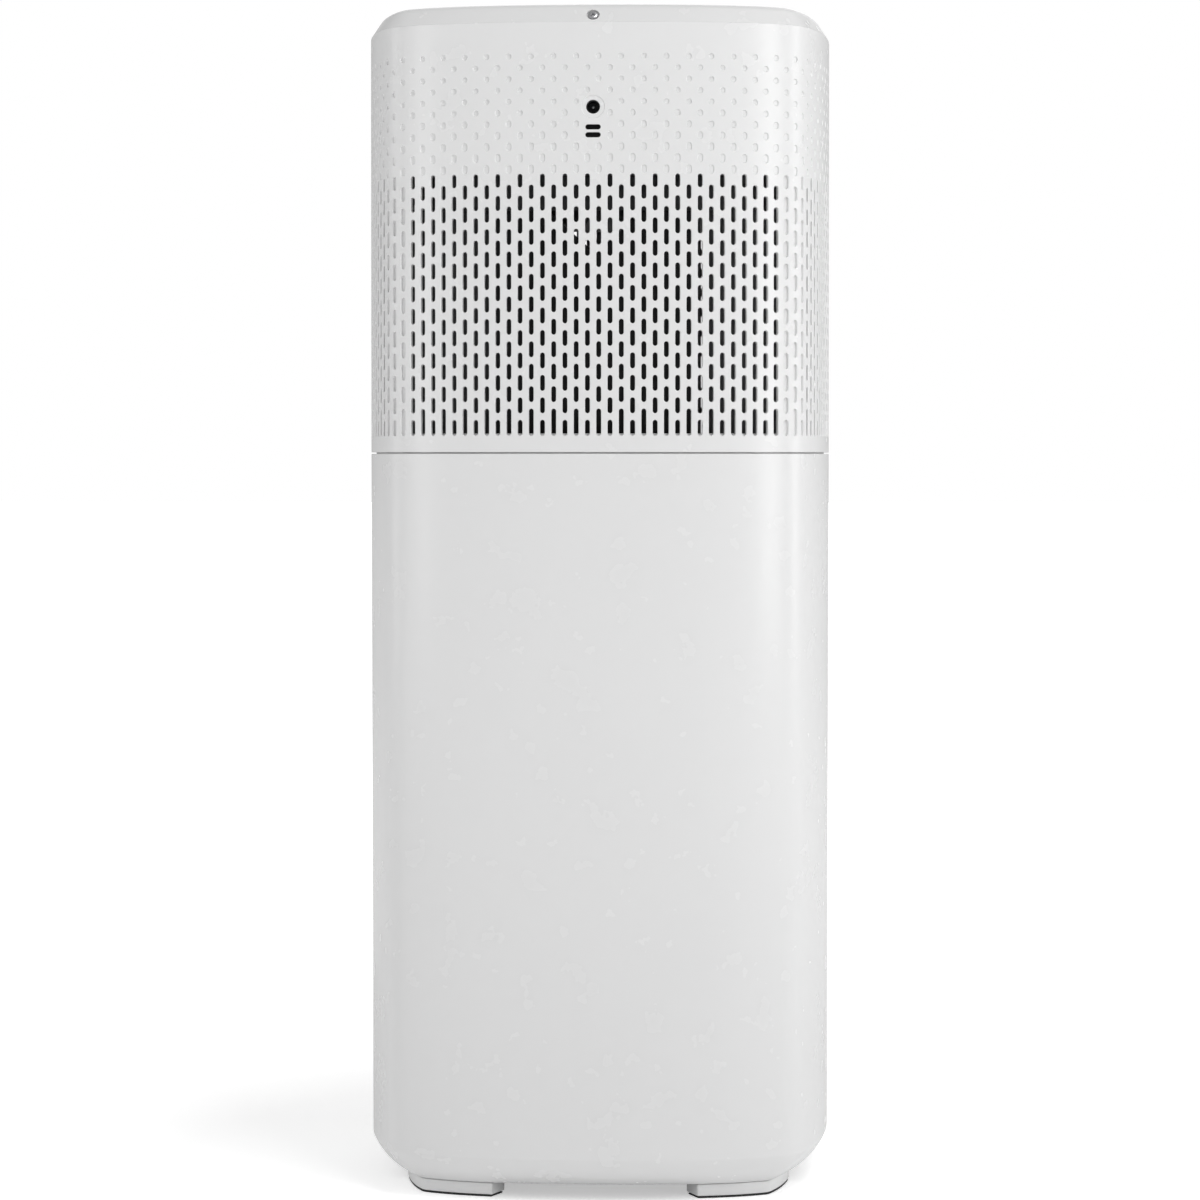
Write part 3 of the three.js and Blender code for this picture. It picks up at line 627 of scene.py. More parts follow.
# %% The wrapping tree
class Recipe(Graph):
    """A Geometry Nodes tree with named inputs, run once on an empty host object."""

    def __init__(self, name, **inputs):
        super().__init__(bpy.data.node_groups.new(name, "GeometryNodeTree"))
        self.tree.is_modifier = True
        for label, kind in {"Geometry": "Geometry", **inputs}.items():
            self.tree.interface.new_socket(
                label.replace("_", " "), in_out="INPUT", socket_type="NodeSocket" + kind)
        self.tree.interface.new_socket("Geometry", in_out="OUTPUT", socket_type="NodeSocketGeometry")
        self.entry = self.tree.nodes.new("NodeGroupInput")

    def given(self, label):
        return Wire(self, self.entry.outputs[label])

    def pick(self, label, **more):
        """The geometry of an object that an input names."""
        return self.add("GeometryNodeObjectInfo", None, self.given(label), out="Geometry", **more)

    def whole(self, geometry):
        """Ends the tree: instances become real and take the material."""
        real = self.add("GeometryNodeRealizeInstances", None, geometry)
        painted = self.add("GeometryNodeSetMaterial", None, real, None, self.given("Material"))
        self.tree.links.new(painted.socket, self.tree.nodes.new("NodeGroupOutput").inputs[0])

    def cook(self, name, **values):
        """A plain mesh object made by the tree with these inputs."""
        host = object_from(name, bpy.data.meshes.new(name))
        modifier = host.modifiers.new("recipe", "NODES")
        modifier.node_group = self.tree
        for item in self.tree.interface.items_tree:
            key = item.name.replace(" ", "_")
            if item.in_out == "INPUT" and key in values:
                modifier[item.identifier] = values[key]
        host.update_tag()
        return baked(host)


SLOT_LENGTH = 8.56 * MM
FIRST_SHORTER = 1.26 * MM      # how much shorter the first row of slots is
SLOT_GROWTH = 0.45 * MM        # gained by each row until the slots are full length
DIMPLE_LENGTH = 3.5 * MM
DIMPLE_GROWTH = 0.32 * MM      # gained by each row past the first few
DIMPLE_GAIN = 1.6 * MM         # the most that a dimple gains
ROUND_DIMPLE_ROWS = 4
DIMPLE_ROWS = 11


def wrapping_tree():
    tree = Recipe(
        "wrap_tiles", Outline="Object", Slot="Object", Blind="Object", Dimple="Object", Plain="Object",
        First_column="Int", Columns="Int", First_row="Int", Steps="Int", Dimple_rows="Int",
        Top_row="Float", Row="Float", Sheet_top="Float", Sheet_bottom="Float", Slot_length="Float",
        Last_slot_end="Float", Pitch="Float", Side_columns="Int", Sides="Float", Blind_from="Float",
        Stretch="Float", Inlet_from="Float", Inlet_to="Float", Material="Material")
    given = tree.given
    index = tree.add("GeometryNodeInputIndex")
    step = ((index + 0.5) / given("Columns")).math("FLOOR")
    column = given("First column") + index - step * given("Columns")
    k = given("First row") + step * 2 + column % 2
    first = k - given("First row")
    last = given("Steps") * 2 - 1 - first
    middle = given("Top row") - k * given("Row")
    is_dimple = k < given("Dimple rows") - 0.5
    is_end = last < 1.5
    is_start = first < 1.5
    slot_length = given("Slot length") - FIRST_SHORTER + (k - DIMPLE_ROWS) * SLOT_GROWTH
    slot_length = slot_length.math("MINIMUM", given("Slot length"))
    dimple_gain = ((k - ROUND_DIMPLE_ROWS) * DIMPLE_GROWTH).math("MAXIMUM", 0.0)
    dimple_length = dimple_gain.math("MINIMUM", DIMPLE_GAIN) + DIMPLE_LENGTH
    half_length = (is_dimple * dimple_length + (1 - is_dimple) * slot_length) / 2

    def choose(condition, yes, no):
        return condition * yes + (1 - condition) * no

    heights = [
        choose(is_end, given("Sheet bottom"), middle - given("Row")),
        choose(is_end, given("Last slot end"), middle - half_length),
        choose(first < 0.5, given("Sheet top"), choose(last < 0.5, given("Sheet bottom"), middle)),
        middle + half_length,
        choose(is_start, given("Sheet top"), middle + given("Row")),
    ]
    place = column + 0.5
    side = (place / given("Side columns")).math("ROUND")
    from_middle = abs(place - side * given("Side columns"))
    at_inlet = (abs(place) < 1.0) * (k > given("Inlet from")) * (k < given("Inlet to"))
    is_blind = (from_middle > given("Blind from")) * (1 - is_dimple)
    kinds = {
        "Plain": at_inlet,
        "Dimple": is_dimple * (1 - at_inlet),
        "Blind": is_blind,
        "Slot": (1 - is_dimple) * (1 - is_blind),
    }
    count = given("Columns") * given("Steps")
    seats = tree.add("GeometryNodePoints", None, count, tree.vector(place, 0.0, 0.0))
    for number, height in enumerate(heights):
        seats = tree.add(
            "GeometryNodeStoreNamedAttribute", {"data_type": "FLOAT", "domain": "POINT"},
            seats, Name=f"height_{number}", Value=height)
    both = tree.tree.nodes.new("GeometryNodeJoinGeometry")
    for kind, chosen in kinds.items():
        placed = tree.add("GeometryNodeInstanceOnPoints", None, seats, chosen, tree.pick(kind))
        tree.tree.links.new(placed.socket, both.inputs[0])
    sheet = tree.add("GeometryNodeRealizeInstances", None, Wire(tree, both.outputs[0]))

    def stored(name):
        return tree.add("GeometryNodeInputNamedAttribute", {"data_type": "FLOAT"}, Name=name)

    across, depth, local = tree.split(tree.add("GeometryNodeInputPosition"))
    level = stored("level")
    for number in range(len(heights)):
        local = local + (abs(level - number) < 0.5) * stored(f"height_{number}")
    side = (across / given("Side columns")).math("ROUND")
    offset = across - side * given("Side columns")
    beyond = (abs(offset) - given("Blind from")).math("MAXIMUM", 0.0)
    extra = beyond * offset.math("SIGN") * given("Stretch")
    arc = (side * given("Sides") + (offset + extra) * given("Pitch")) % (given("Sides") * 4)
    sample = tree.add(
        "GeometryNodeSampleCurve", {"mode": "LENGTH"}, tree.pick("Outline"), None, None, arc,
        out="Position")
    x, y, _ = tree.split(sample)
    along_x, along_y, _ = tree.split(sample.out("Tangent"))
    bent = tree.vector(x - along_y * depth, y + along_x * depth, local)
    sheet = tree.add("GeometryNodeSetPosition", None, sheet, None, bent)
    sheet = tree.add("GeometryNodeMergeByDistance", None, sheet, Distance=0.01 * MM)
    tree.whole(sheet)
    return tree


WRAP = wrapping_tree()
print("wrapping tree has", len(WRAP.tree.nodes), "nodes")

# %% Wrap a sheet
ROW = 6.03 * MM
TOP_ROW = 621.35 * MM
SIDE_COLUMNS = 37
BLIND_FROM = 17
SIDE_STRETCH = (SIDE_ARC / 2 / PITCH - BLIND_FROM) / (SIDE_COLUMNS / 2 - BLIND_FROM) - 1


def outline_curve():
    """The outline as a closed curve that the tree can measure along."""
    curve = bpy.data.curves.new("outline", "CURVE")
    curve.dimensions = "3D"
    count = 8 * round(ROUND / 8 / (0.7 * MM))
    line = curve.splines.new("POLY")
    line.points.add(count - 1)
    for i in range(count):
        line.points[i].co = (*outline(ROUND * i / count)[0], 1)
    line.use_cyclic_u = True
    return object_from("outline", curve)


OUTLINE = outline_curve()


def narrowed(mesh):
    """Gives the case's barrel to a mesh that was wrapped on the straight outline."""
    for vertex in mesh.vertices:
        vertex.co.xy *= barrel(vertex.co.z)


def slotted(name, columns, first_row, steps, top, bottom, dimple_rows, last_slot_end, inlet=(0, 0)):
    """A slotted wall with both its faces, closed along its free edges."""
    obj = WRAP.cook(
        name, Outline=OUTLINE, First_column=columns[0], Columns=columns[1] - columns[0],
        First_row=first_row, Steps=steps, Dimple_rows=dimple_rows, Top_row=TOP_ROW, Row=ROW,
        Sheet_top=top, Sheet_bottom=bottom, Slot_length=SLOT_LENGTH, Last_slot_end=last_slot_end,
        Pitch=PITCH, Side_columns=SIDE_COLUMNS, Sides=SIDE_ARC, Blind_from=float(BLIND_FROM),
        Stretch=SIDE_STRETCH, Inlet_from=inlet[0] - 0.5, Inlet_to=inlet[1] + 0.5,
        Material=WHITE_PLASTIC, **TILES)
    work = bmesh.new()
    work.from_mesh(obj.data)
    bmesh.ops.remove_doubles(work, verts=work.verts, dist=0.01 * MM)
    edges = [e for e in work.edges if e.is_boundary]
    loops = [edges]
    if columns[1] - columns[0] == 4 * SIDE_COLUMNS:
        loops = [[e for e in edges if all(abs(v.co.z - z) < MM for v in e.verts)] for z in (top, bottom)]
    for loop in loops:
        bmesh.ops.bridge_loops(work, edges=loop)
    bmesh.ops.recalc_face_normals(work, faces=work.faces)
    open_edges = sum(not e.is_manifold for e in work.edges)
    work.to_mesh(obj.data)
    work.free()
    narrowed(obj.data)
    print(name, len(obj.data.polygons), "faces,", open_edges, "open edges")
    return obj


# %% [markdown]
# ## Head shell
# The head goes all the way round, with dimples above and slots below.  The power inlet breaks
# the pattern in the middle of the back: a few tiles are plain there, and the recess, the plug
# hole and the two small air openings under it are cut afterwards.

# %% Head shell
SEAM_GAP = 0.03 * MM
HEAD_LOW, HEAD_HIGH = (v.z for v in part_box("head_shell"))
CAP_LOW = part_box("top_cap")[0].z
JACK = (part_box("jack_pin")[0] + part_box("jack_pin")[1]) / 2
BACK_FACE = -HALF


def along_y(x, y, z):
    """Places a shape drawn about Z so that its axis runs from the back face inwards."""
    return Matrix.Translation((x, y, z)) @ Matrix.Rotation(-math.pi / 2, 4, "X")


def stadium_cutter(name, half_width, half_height, x, z, depth, chamfer):
    """A horizontal rounded slot with a chamfered mouth, cut from the back face inwards."""
    points, faces = [], []
    steps = 10
    levels = [(chamfer * 2, -chamfer * 1.4), (0, chamfer * 0.6), (0, depth)]
    for grow, into in levels:
        for end in (0, 1):
            for i in range(steps + 1):
                a = -math.pi / 2 + math.pi * (i / steps + end)
                middle = (half_width - half_height) * (-1 if end else 1)
                r = half_height + grow
                points.append((x + middle + r * math.cos(a), BACK_FACE + into, z + r * math.sin(a)))
    count = 2 * (steps + 1)
    for row in range(len(levels) - 1):
        for i in range(count):
            j = (i + 1) % count
            faces.append((row * count + i, row * count + j, (row + 1) * count + j, (row + 1) * count + i))
    faces.append(tuple(range(count)))
    faces.append(tuple(range((len(levels) - 1) * count, len(levels) * count)))
    return object_from(name, tidy(mesh_from(name, points, faces)))


def head():
    obj = slotted(
        "head_case", (-2 * SIDE_COLUMNS, 2 * SIDE_COLUMNS), 0, 17, CAP_LOW - SEAM_GAP, HEAD_LOW,
        DIMPLE_ROWS, 418.1 * MM, inlet=(4, 7))
    rim = 6.6 * MM
    plug = 3.72 * MM
    bowl = [(0, -MM), (rim + 0.7 * MM, -MM), (rim, 0.05 * MM), (rim - 0.55 * MM, 0.85 * MM)]
    hole = [(plug + 0.25 * MM, 0.85 * MM), (plug, 1.1 * MM), (plug, 5 * MM), (0, 5 * MM)]
    place = along_y(0, BACK_FACE, JACK.z)
    sensor = (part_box("air_sensor")[0].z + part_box("air_sensor")[1].z) / 2 + 2.8 * MM
    cutters = [turned("inlet_cutter", [*bowl, *hole], 64, place)]
    for dz in (2.1 * MM, -2.1 * MM):
        cutters.append(stadium_cutter("air_cutter", 4.15 * MM, 1.42 * MM, 0, sensor + dz, 5 * MM, 0.2 * MM))
    carve(obj, *cutters)
    return keep(obj, "case", WHITE_PLASTIC, ["head_shell"])


head()

# %% [markdown]
# ## Front cover
# The cover is the same slotted wall, cut to a panel of the front side.  It takes the same tree
# with other numbers: only slots, only the columns that fit between the corners, and a plain
# margin above and below.  Four bosses on its back hold the magnets.

# %% Front cover
COVER_COLUMNS = (2 * SIDE_COLUMNS - 16, 2 * SIDE_COLUMNS + 16)
COVER_LOW, COVER_HIGH = (v.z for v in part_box("front_cover"))
CORNERS = ("low_left", "low_right", "high_left", "high_right")


def middle_of(node):
    low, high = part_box(node)
    return (low + high) / 2


def front_panel():
    obj = slotted("front_panel", COVER_COLUMNS, 42, 26, COVER_HIGH, COVER_LOW, 0, 56.4 * MM)
    bosses = []
    for spot in CORNERS:
        at = middle_of(f"cover_magnet_{spot}")
        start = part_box(f"cover_magnet_{spot}")[1].y + 0.3 * MM
        profile = [(0, 0), (5.4 * MM, 0), (5.5 * MM, 0.2 * MM), (5.5 * MM, 8 * MM), (0, 8 * MM)]
        bosses.append(turned("boss", profile, 32, along_y(at.x, start, at.z)))
    carve(obj, *bosses, operation="UNION")
    return keep(obj, "cover", WHITE_PLASTIC, ["front_cover"])


front_panel()
discard(OUTLINE, *TILES.values())

# %% [markdown]
# ## Lower case
# A plain sweep of the wall: straight sides, then a curve that leaves them at a slight edge and
# turns in under the case.  A collar at the top stands inside the head, behind the seam.
# The opening for the front cover is cut half a millimetre larger than the cover.

# %% Lower case
COVER_GAP = 0.5 * MM
EDGE = 0.25 * MM
TUCK_Z = 26 * MM
TUCK_IN = 18.5 * MM
SEAM = 0.9 * MM


def tuck(steps, offset, bottom):
    """Profile points of the turned-in foot of the case, at an offset from its outer face."""
    first, last = 0.36, 1.13
    span = math.cos(first) - math.cos(last)
    rise = math.sin(last) - math.sin(first)
    profile = []
    for i in range(steps + 1):
        a = first + (last - first) * i / steps
        inset = TUCK_IN * (math.cos(first) - math.cos(a)) / span
        z = TUCK_Z - (TUCK_Z - bottom) * (math.sin(a) - math.sin(first)) / rise
        profile.append((inset + offset * math.cos(a), z + offset * math.sin(a)))
    return profile


def lower_case():
    low, high = (v.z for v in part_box("base_shell"))
    seam = HEAD_LOW - SEAM
    outer = tuck(12, 0, low)
    inner = tuck(12, WALL, low)[::-1]
    collar = [(WALL, high - 24 * MM), (2 * WALL, high - 20 * MM), (2 * WALL, high)]
    collar += [(WALL + 0.3 * MM, high), (WALL + 0.3 * MM, seam)]
    obj = sweep("lower_case", [(EDGE, seam), (0, seam - EDGE), *outer, *inner, *collar])
    edge = case_point(2 * SIDE_ARC - 16 * PITCH, 0, BARREL_Z).x + COVER_GAP
    start = (-edge, 60 * MM, COVER_LOW - COVER_GAP)
    carve(obj, block("opening", start, (edge, 140 * MM, COVER_HIGH + COVER_GAP)))
    return keep(obj, "case", WHITE_PLASTIC, ["base_shell"])


lower_case()

# %% [markdown]
# ## Top cap
# The cap carries the bevel: a straight slope from the crease, then a soft shoulder to the flat
# top.  The screw that holds it sits square to the slope in a counterbore.

# %% Top cap
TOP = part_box("top_cap")[1].z
SCREW_TILT = math.radians(32.7)
SCREW_SEAT = Vector((0, BACK_FACE + 2.9 * MM, HEAD_HIGH + 4.5 * MM))
SCREW_AXIS = Vector((0, -math.cos(SCREW_TILT), math.sin(SCREW_TILT)))
BEVEL_IN = 11.3 * MM
PANEL_IN = 30 * MM


def along_screw(offset=0.0):
    turn = SCREW_AXIS.to_track_quat("Z", "Y").to_matrix().to_4x4()
    return Matrix.Translation(SCREW_SEAT + offset * SCREW_AXIS) @ turn


def top_cap():
    start = Vector((4.9 * MM, TOP - 3.05 * MM))
    pull = Vector((7.0 * MM, TOP))
    end = Vector((BEVEL_IN, TOP))
    steps = 10
    shoulder = []
    for i in range(steps + 1):
        t = i / steps
        shoulder.append(tuple(start * (1 - t) ** 2 + pull * 2 * t * (1 - t) + end * t**2))
    outer = [(0, CAP_LOW), *shoulder, (PANEL_IN - EDGE, TOP), (PANEL_IN, TOP - EDGE)]
    inner = [(PANEL_IN, TOP - WALL), (BEVEL_IN, TOP - WALL), (7.4 * MM, TOP - 3.6 * MM)]
    obj = sweep("cap", [*outer, *inner, (WALL, CAP_LOW + MM), (WALL, CAP_LOW)])
    boss = cylinder("boss", 4.6 * MM, -9 * MM, -MM, 40, along_screw())
    carve(boss, block("under_cap", (-10 * MM, -140 * MM, CAP_LOW - 20 * MM), (10 * MM, -100 * MM, CAP_LOW)))
    carve(obj, boss, operation="UNION")
    bore = [(0, -1.8 * MM), (3.5 * MM, -1.8 * MM), (3.5 * MM, 0.1 * MM)]
    bore += [(4.4 * MM, MM), (4.4 * MM, 6 * MM), (0, 6 * MM)]
    shank = cylinder("shank", 1.8 * MM, -7.4 * MM, 0, 32, along_screw())
    carve(obj, turned("bore", bore, 56, along_screw()), shank)
    return keep(obj, "case", WHITE_PLASTIC, ["top_cap"])


top_cap()

# %% [markdown]
# ## Feet and pads
# Each foot is a bent bar under one corner, and a rubber pad is let in under it.  Both follow
# the outline, so they are short sweeps with closed ends, and a Bevel modifier softens their
# edges as a mould would.

# %% Feet and pads
RUBBER_FINISH = moulded(
    "rubber", (0.018, 0.018, 0.019), (0.03, 0.03, 0.031), 0.75, 0.5 * MM, 0.03 * MM, 0.15)
FOOT_NAMES = ("rear_left", "rear_right", "front_right", "front_left")
FOOT_MIDDLES = (-0.5, 0.5, 1.5, 2.5)
FOOT_REACH = 53.4 * MM


def corner_bar(name, middle, reach, profile, soften, steps=36):
    """The closed profile carried along the outline near one corner, with flat ends."""
    arcs = [middle * SIDE_ARC - reach + 2 * reach * i / steps for i in range(steps + 1)]
    count = len(profile)
    points = [case_point(arc, inset, z) for arc in arcs for inset, z in profile]
    faces = [tuple(range(count)), tuple(range(steps * count, (steps + 1) * count))]
    for i in range(steps):
        for k in range(count):
            j = (k + 1) % count
            faces.append((i * count + k, i * count + j, (i + 1) * count + j, (i + 1) * count + k))
    obj = object_from(name, tidy(mesh_from(name, points, faces)))
    bevel = obj.modifiers.new("soften", "BEVEL")
    bevel.width = soften
    bevel.segments = 3
    bevel.angle_limit = math.radians(40)
    return baked(obj)


FOOT_IN = 19.2 * MM
FOOT_BACK = 32 * MM
TONGUE_IN = 2 * MM       # a tongue on top of the bar reaches up into the case
SHOULDER_Z = 7.9 * MM
for spot, middle in zip(FOOT_NAMES, FOOT_MIDDLES):
    pad_low, pad_high = (v.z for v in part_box(f"foot_pad_{spot}"))
    foot_low, foot_high = (v.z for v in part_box(f"foot_{spot}"))
    tongue = [(FOOT_BACK - TONGUE_IN, foot_high), (FOOT_IN + TONGUE_IN, foot_high)]
    foot_profile = [(FOOT_IN, foot_low), (FOOT_BACK, foot_low), (FOOT_BACK, SHOULDER_Z), *tongue]
    foot_profile += [(FOOT_IN + TONGUE_IN, SHOULDER_Z), (FOOT_IN, SHOULDER_Z)]
    foot = corner_bar(f"foot_bar_{spot}", middle, FOOT_REACH, foot_profile, 0.7 * MM)
    keep(foot, "case", WHITE_PLASTIC, [f"foot_{spot}"])
    inside, outside = FOOT_BACK - 1.2 * MM, FOOT_IN + 0.4 * MM
    pad_profile = [(outside, pad_low), (inside, pad_low), (inside, pad_high), (outside, pad_high)]
    pad = corner_bar(f"pad_{spot}", middle, FOOT_REACH - 0.6 * MM, pad_profile, 0.25 * MM)
    keep(pad, "case", RUBBER_FINISH, [f"foot_pad_{spot}"])

# %% [markdown]
# ## Steel hardware
# Screws, magnets and keepers are small turned pieces that repeat.  A second tree stands a copy
# of one of them on every point of a host mesh, turns it to the point's own direction and scales
# it, so that one short list of seats makes each set.

# %% Steel finish and the seating tree
def brushed(name, colour, dark, roughness):
    finish = Finish(name, Metallic=1.0)
    stretched = finish.add("ShaderNodeMapping", None, finish.place, Scale=(1.0, 9.0, 1.0))
    lines = finish.noise(0.4 * MM, 3, place=stretched)
    finish.feed(Base_Color=finish.between(finish.noise(3 * MM, 3), colour, dark))
    finish.feed(Roughness=lines * 0.2 + (roughness - 0.1))
    finish.relief(lines, 0.004 * MM)
    return finish.material


STEEL = brushed("steel", (0.62, 0.62, 0.63), (0.5, 0.5, 0.52), 0.34)


def seating_tree():
    tree = Recipe("seat_copies", Part="Object", Seats="Object", Material="Material")
    aim = tree.add("GeometryNodeInputNamedAttribute", {"data_type": "FLOAT_VECTOR"}, Name="aim")
    size = tree.add("GeometryNodeInputNamedAttribute", {"data_type": "FLOAT"}, Name="size")
    turn = tree.add("FunctionNodeAlignRotationToVector", {"axis": "Z"}, Vector=aim)
    placed = tree.add(
        "GeometryNodeInstanceOnPoints", None, tree.pick("Seats"), None, tree.pick("Part"),
        Rotation=turn, Scale=size)
    tree.whole(placed)
    return tree


SEATING = seating_tree()


def seated(name, part, seats, material):
    """Copies of part at (place, direction, scale) seats."""
    mesh = mesh_from(name + "_seats", [place for place, _, _ in seats], [])
    mesh.attributes.new("aim", "FLOAT_VECTOR", "POINT")
    mesh.attributes.new("size", "FLOAT", "POINT")
    for i, (_, facing, scale) in enumerate(seats):
        mesh.attributes["aim"].data[i].vector = facing
        mesh.attributes["size"].data[i].value = scale
    host = object_from(name + "_seats", mesh)
    obj = SEATING.cook(name, Part=part, Seats=host, Material=material)
    discard(host)
    return obj


# %% Screws, keepers and magnets
def cross_screw():
    """A pan-head screw with a cross recess; its head's underside is at the origin."""
    r = 2.7 * MM
    crest, root, pitch = 1.45 * MM, 1.15 * MM, 0.7 * MM
    dome = [(r * 0.5, 1.6 * MM), (r * 0.8, 1.45 * MM), (r * 0.95, 1.2 * MM), (r, 0.9 * MM)]
    profile = [(0, 1.63 * MM), *dome, (r, 0.1 * MM), (r * 0.97, 0), (crest, 0)]
    for i in range(6):
        profile += [(crest, -pitch * i - 0.2 * MM), (root, -pitch * i - 0.55 * MM)]
    obj = turned("screw", [*profile, (0, -5 * MM)], 40)
    points = []
    wide = 0.36 * MM
    for z, half in ((0.35 * MM, 0.45 * MM), (2 * MM, 1.75 * MM)):
        points += [(-half, -wide, z), (half, -wide, z), (half, wide, z), (-half, wide, z)]
    faces = [(0, 1, 2, 3), (4, 5, 6, 7), (0, 1, 5, 4), (1, 2, 6, 5), (2, 3, 7, 6), (3, 0, 4, 7)]
    arms = []
    for angle in (45, 135):
        mesh = mesh_from("arm", points, faces)
        mesh.transform(Matrix.Rotation(math.radians(angle), 4, "Z"))
        arms.append(object_from("arm", tidy(mesh)))
    return carve(obj, *arms)


def disc(radius, thick):
    edge = 0.3 * MM
    lower = [(0, 0), (radius - edge, 0), (radius, edge)]
    upper = [(radius, thick - edge), (radius - edge, thick), (0, thick)]
    return turned("disc", lower + upper, 36)


screw = cross_screw()
seats = [(SCREW_SEAT - 1.5 * MM * SCREW_AXIS, SCREW_AXIS, 1.0)]
for spot in FOOT_NAMES:
    at = middle_of(f"foot_screw_{spot}")
    at.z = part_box(f"foot_screw_{spot}")[1].z - 2.0 * MM
    seats.append((at, Vector((0, 0, 1)), 1.2))
screws = seated("screws", screw, seats, STEEL)
keep(screws, "case", STEEL, ["rear_screw", *[f"foot_screw_{spot}" for spot in FOOT_NAMES]])
for name, node, body in (("magnets", "cover_magnet_", "cover"), ("keepers", "keeper_", "case")):
    low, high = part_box(node + CORNERS[0])
    part = disc((high.z - low.z) / 2, high.y - low.y)
    seats = []
    for spot in CORNERS:
        at = middle_of(node + spot)
        at.y = low.y
        seats.append((at, Vector((0, 1, 0)), 1.0))
    keep(seated(name, part, seats, STEEL), body, STEEL, [node + spot for spot in CORNERS])
    discard(part)
discard(screw)

# %% [markdown]
# ## Control panel
# The panel, its two buttons and the display window are thin plates with softened rims.  A flat
# curve that is filled, extruded and bevelled gives exactly that, holes included, and it becomes
# a mesh before it is used.

# %% Plates
def circle_loop(x, y, radius, steps=64):
    angles = [2 * math.pi * i / steps for i in range(steps)]
    return [(x + radius * math.cos(a), y + radius * math.sin(a)) for a in angles]


def rounded_loop(x, y, width, height, radius, steps=10):
    loop = []
    for quarter in range(4):
        side = (1, -1, -1, 1)[quarter]
        up = (1, 1, -1, -1)[quarter]
        for i in range(steps + 1):
            a = math.pi / 2 * (quarter + i / steps)
            cx = x + side * (width / 2 - radius)
            cy = y + up * (height / 2 - radius)
            loop.append((cx + radius * math.cos(a), cy + radius * math.sin(a)))
    return loop


def plate(name, loops, low, high, edge):
    """A plate between two heights; the first loop is its outline and the others are holes."""
    curve = bpy.data.curves.new(name, "CURVE")
    curve.dimensions = "2D"
    curve.fill_mode = "BOTH"
    curve.extrude = (high - low) / 2 - edge
    curve.bevel_depth = edge
    curve.bevel_resolution = 3
    curve.offset = -edge
    for loop in loops:
        line = curve.splines.new("POLY")
        line.points.add(len(loop) - 1)
        for point, (x, y) in zip(line.points, loop):
            point.co = (x, y, 0, 1)
        line.use_cyclic_u = True
    flat = object_from(name + "_flat", curve)
    mesh = bpy.data.meshes.new_from_object(flat.evaluated_get(bpy.context.evaluated_depsgraph_get()))
    discard(flat)
    mesh.transform(Matrix.Translation((0, 0, (low + high) / 2)))
    return object_from(name, tidy(mesh))


# %% Panel, window and buttons
PANEL_LOW, PANEL_HIGH = (v.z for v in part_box("top_panel"))
LENS_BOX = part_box("display_lens")
LENS_MIDDLE = middle_of("display_lens")
LENS_SIZE = LENS_BOX[1] - LENS_BOX[0]
BUTTONS = ("button_power", "button_speed")
BUTTON_BODIES = ("power_button", "speed_button")
BUTTON_R = (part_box("button_power")[1].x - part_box("button_power")[0].x) / 2
BUTTON_GAP = 0.4 * MM
LENS_GAP = 0.4 * MM
LENS_CORNER = 6 * MM


def control_plate():
    count = 360
    edge = [case_point(ROUND * i / count, PANEL_IN + 0.3 * MM, PANEL_HIGH) for i in range(count)]
    holes = [circle_loop(middle_of(b).x, middle_of(b).y, BUTTON_R + BUTTON_GAP) for b in BUTTONS]
    wide, long = LENS_SIZE.x + 2 * LENS_GAP, LENS_SIZE.y + 2 * LENS_GAP
    window = rounded_loop(LENS_MIDDLE.x, LENS_MIDDLE.y, wide, long, LENS_CORNER + LENS_GAP)
    loops = [[(p.x, p.y) for p in edge], window, *holes]
    obj = plate("control_plate", loops, PANEL_LOW, PANEL_HIGH, 0.3 * MM)
    return keep(obj, "case", WHITE_PLASTIC, ["top_panel"])


def display_glass():
    finish = Finish("smoked_window", Roughness=0.06, Coat_Weight=0.6, Coat_Roughness=0.04)
    cloud = finish.noise(30 * MM, 2)
    finish.feed(Base_Color=finish.between(cloud, (0.006, 0.007, 0.008), (0.011, 0.012, 0.013)))
    x, y, _ = finish.split(finish.place)
    spacing = 9 * MM
    along = abs(((x + spacing / 2) % spacing) - spacing / 2)
    off_line = abs(y - (LENS_MIDDLE.y - 0.28 * LENS_SIZE.y))
    dot = ((along * along + off_line * off_line) < (0.9 * MM) ** 2) * (abs(x) < 1.5 * spacing)
    finish.feed(Emission_Color=finish.between(dot, (0, 0, 0), (0.55, 0.75, 0.7)), Emission_Strength=0.5)
    loop = rounded_loop(LENS_MIDDLE.x, LENS_MIDDLE.y, LENS_SIZE.x, LENS_SIZE.y, LENS_CORNER)
    obj = plate("display_window", [loop], LENS_BOX[0].z, LENS_BOX[1].z, 0.25 * MM)
    return keep(obj, "case", finish.material, ["display_lens"])


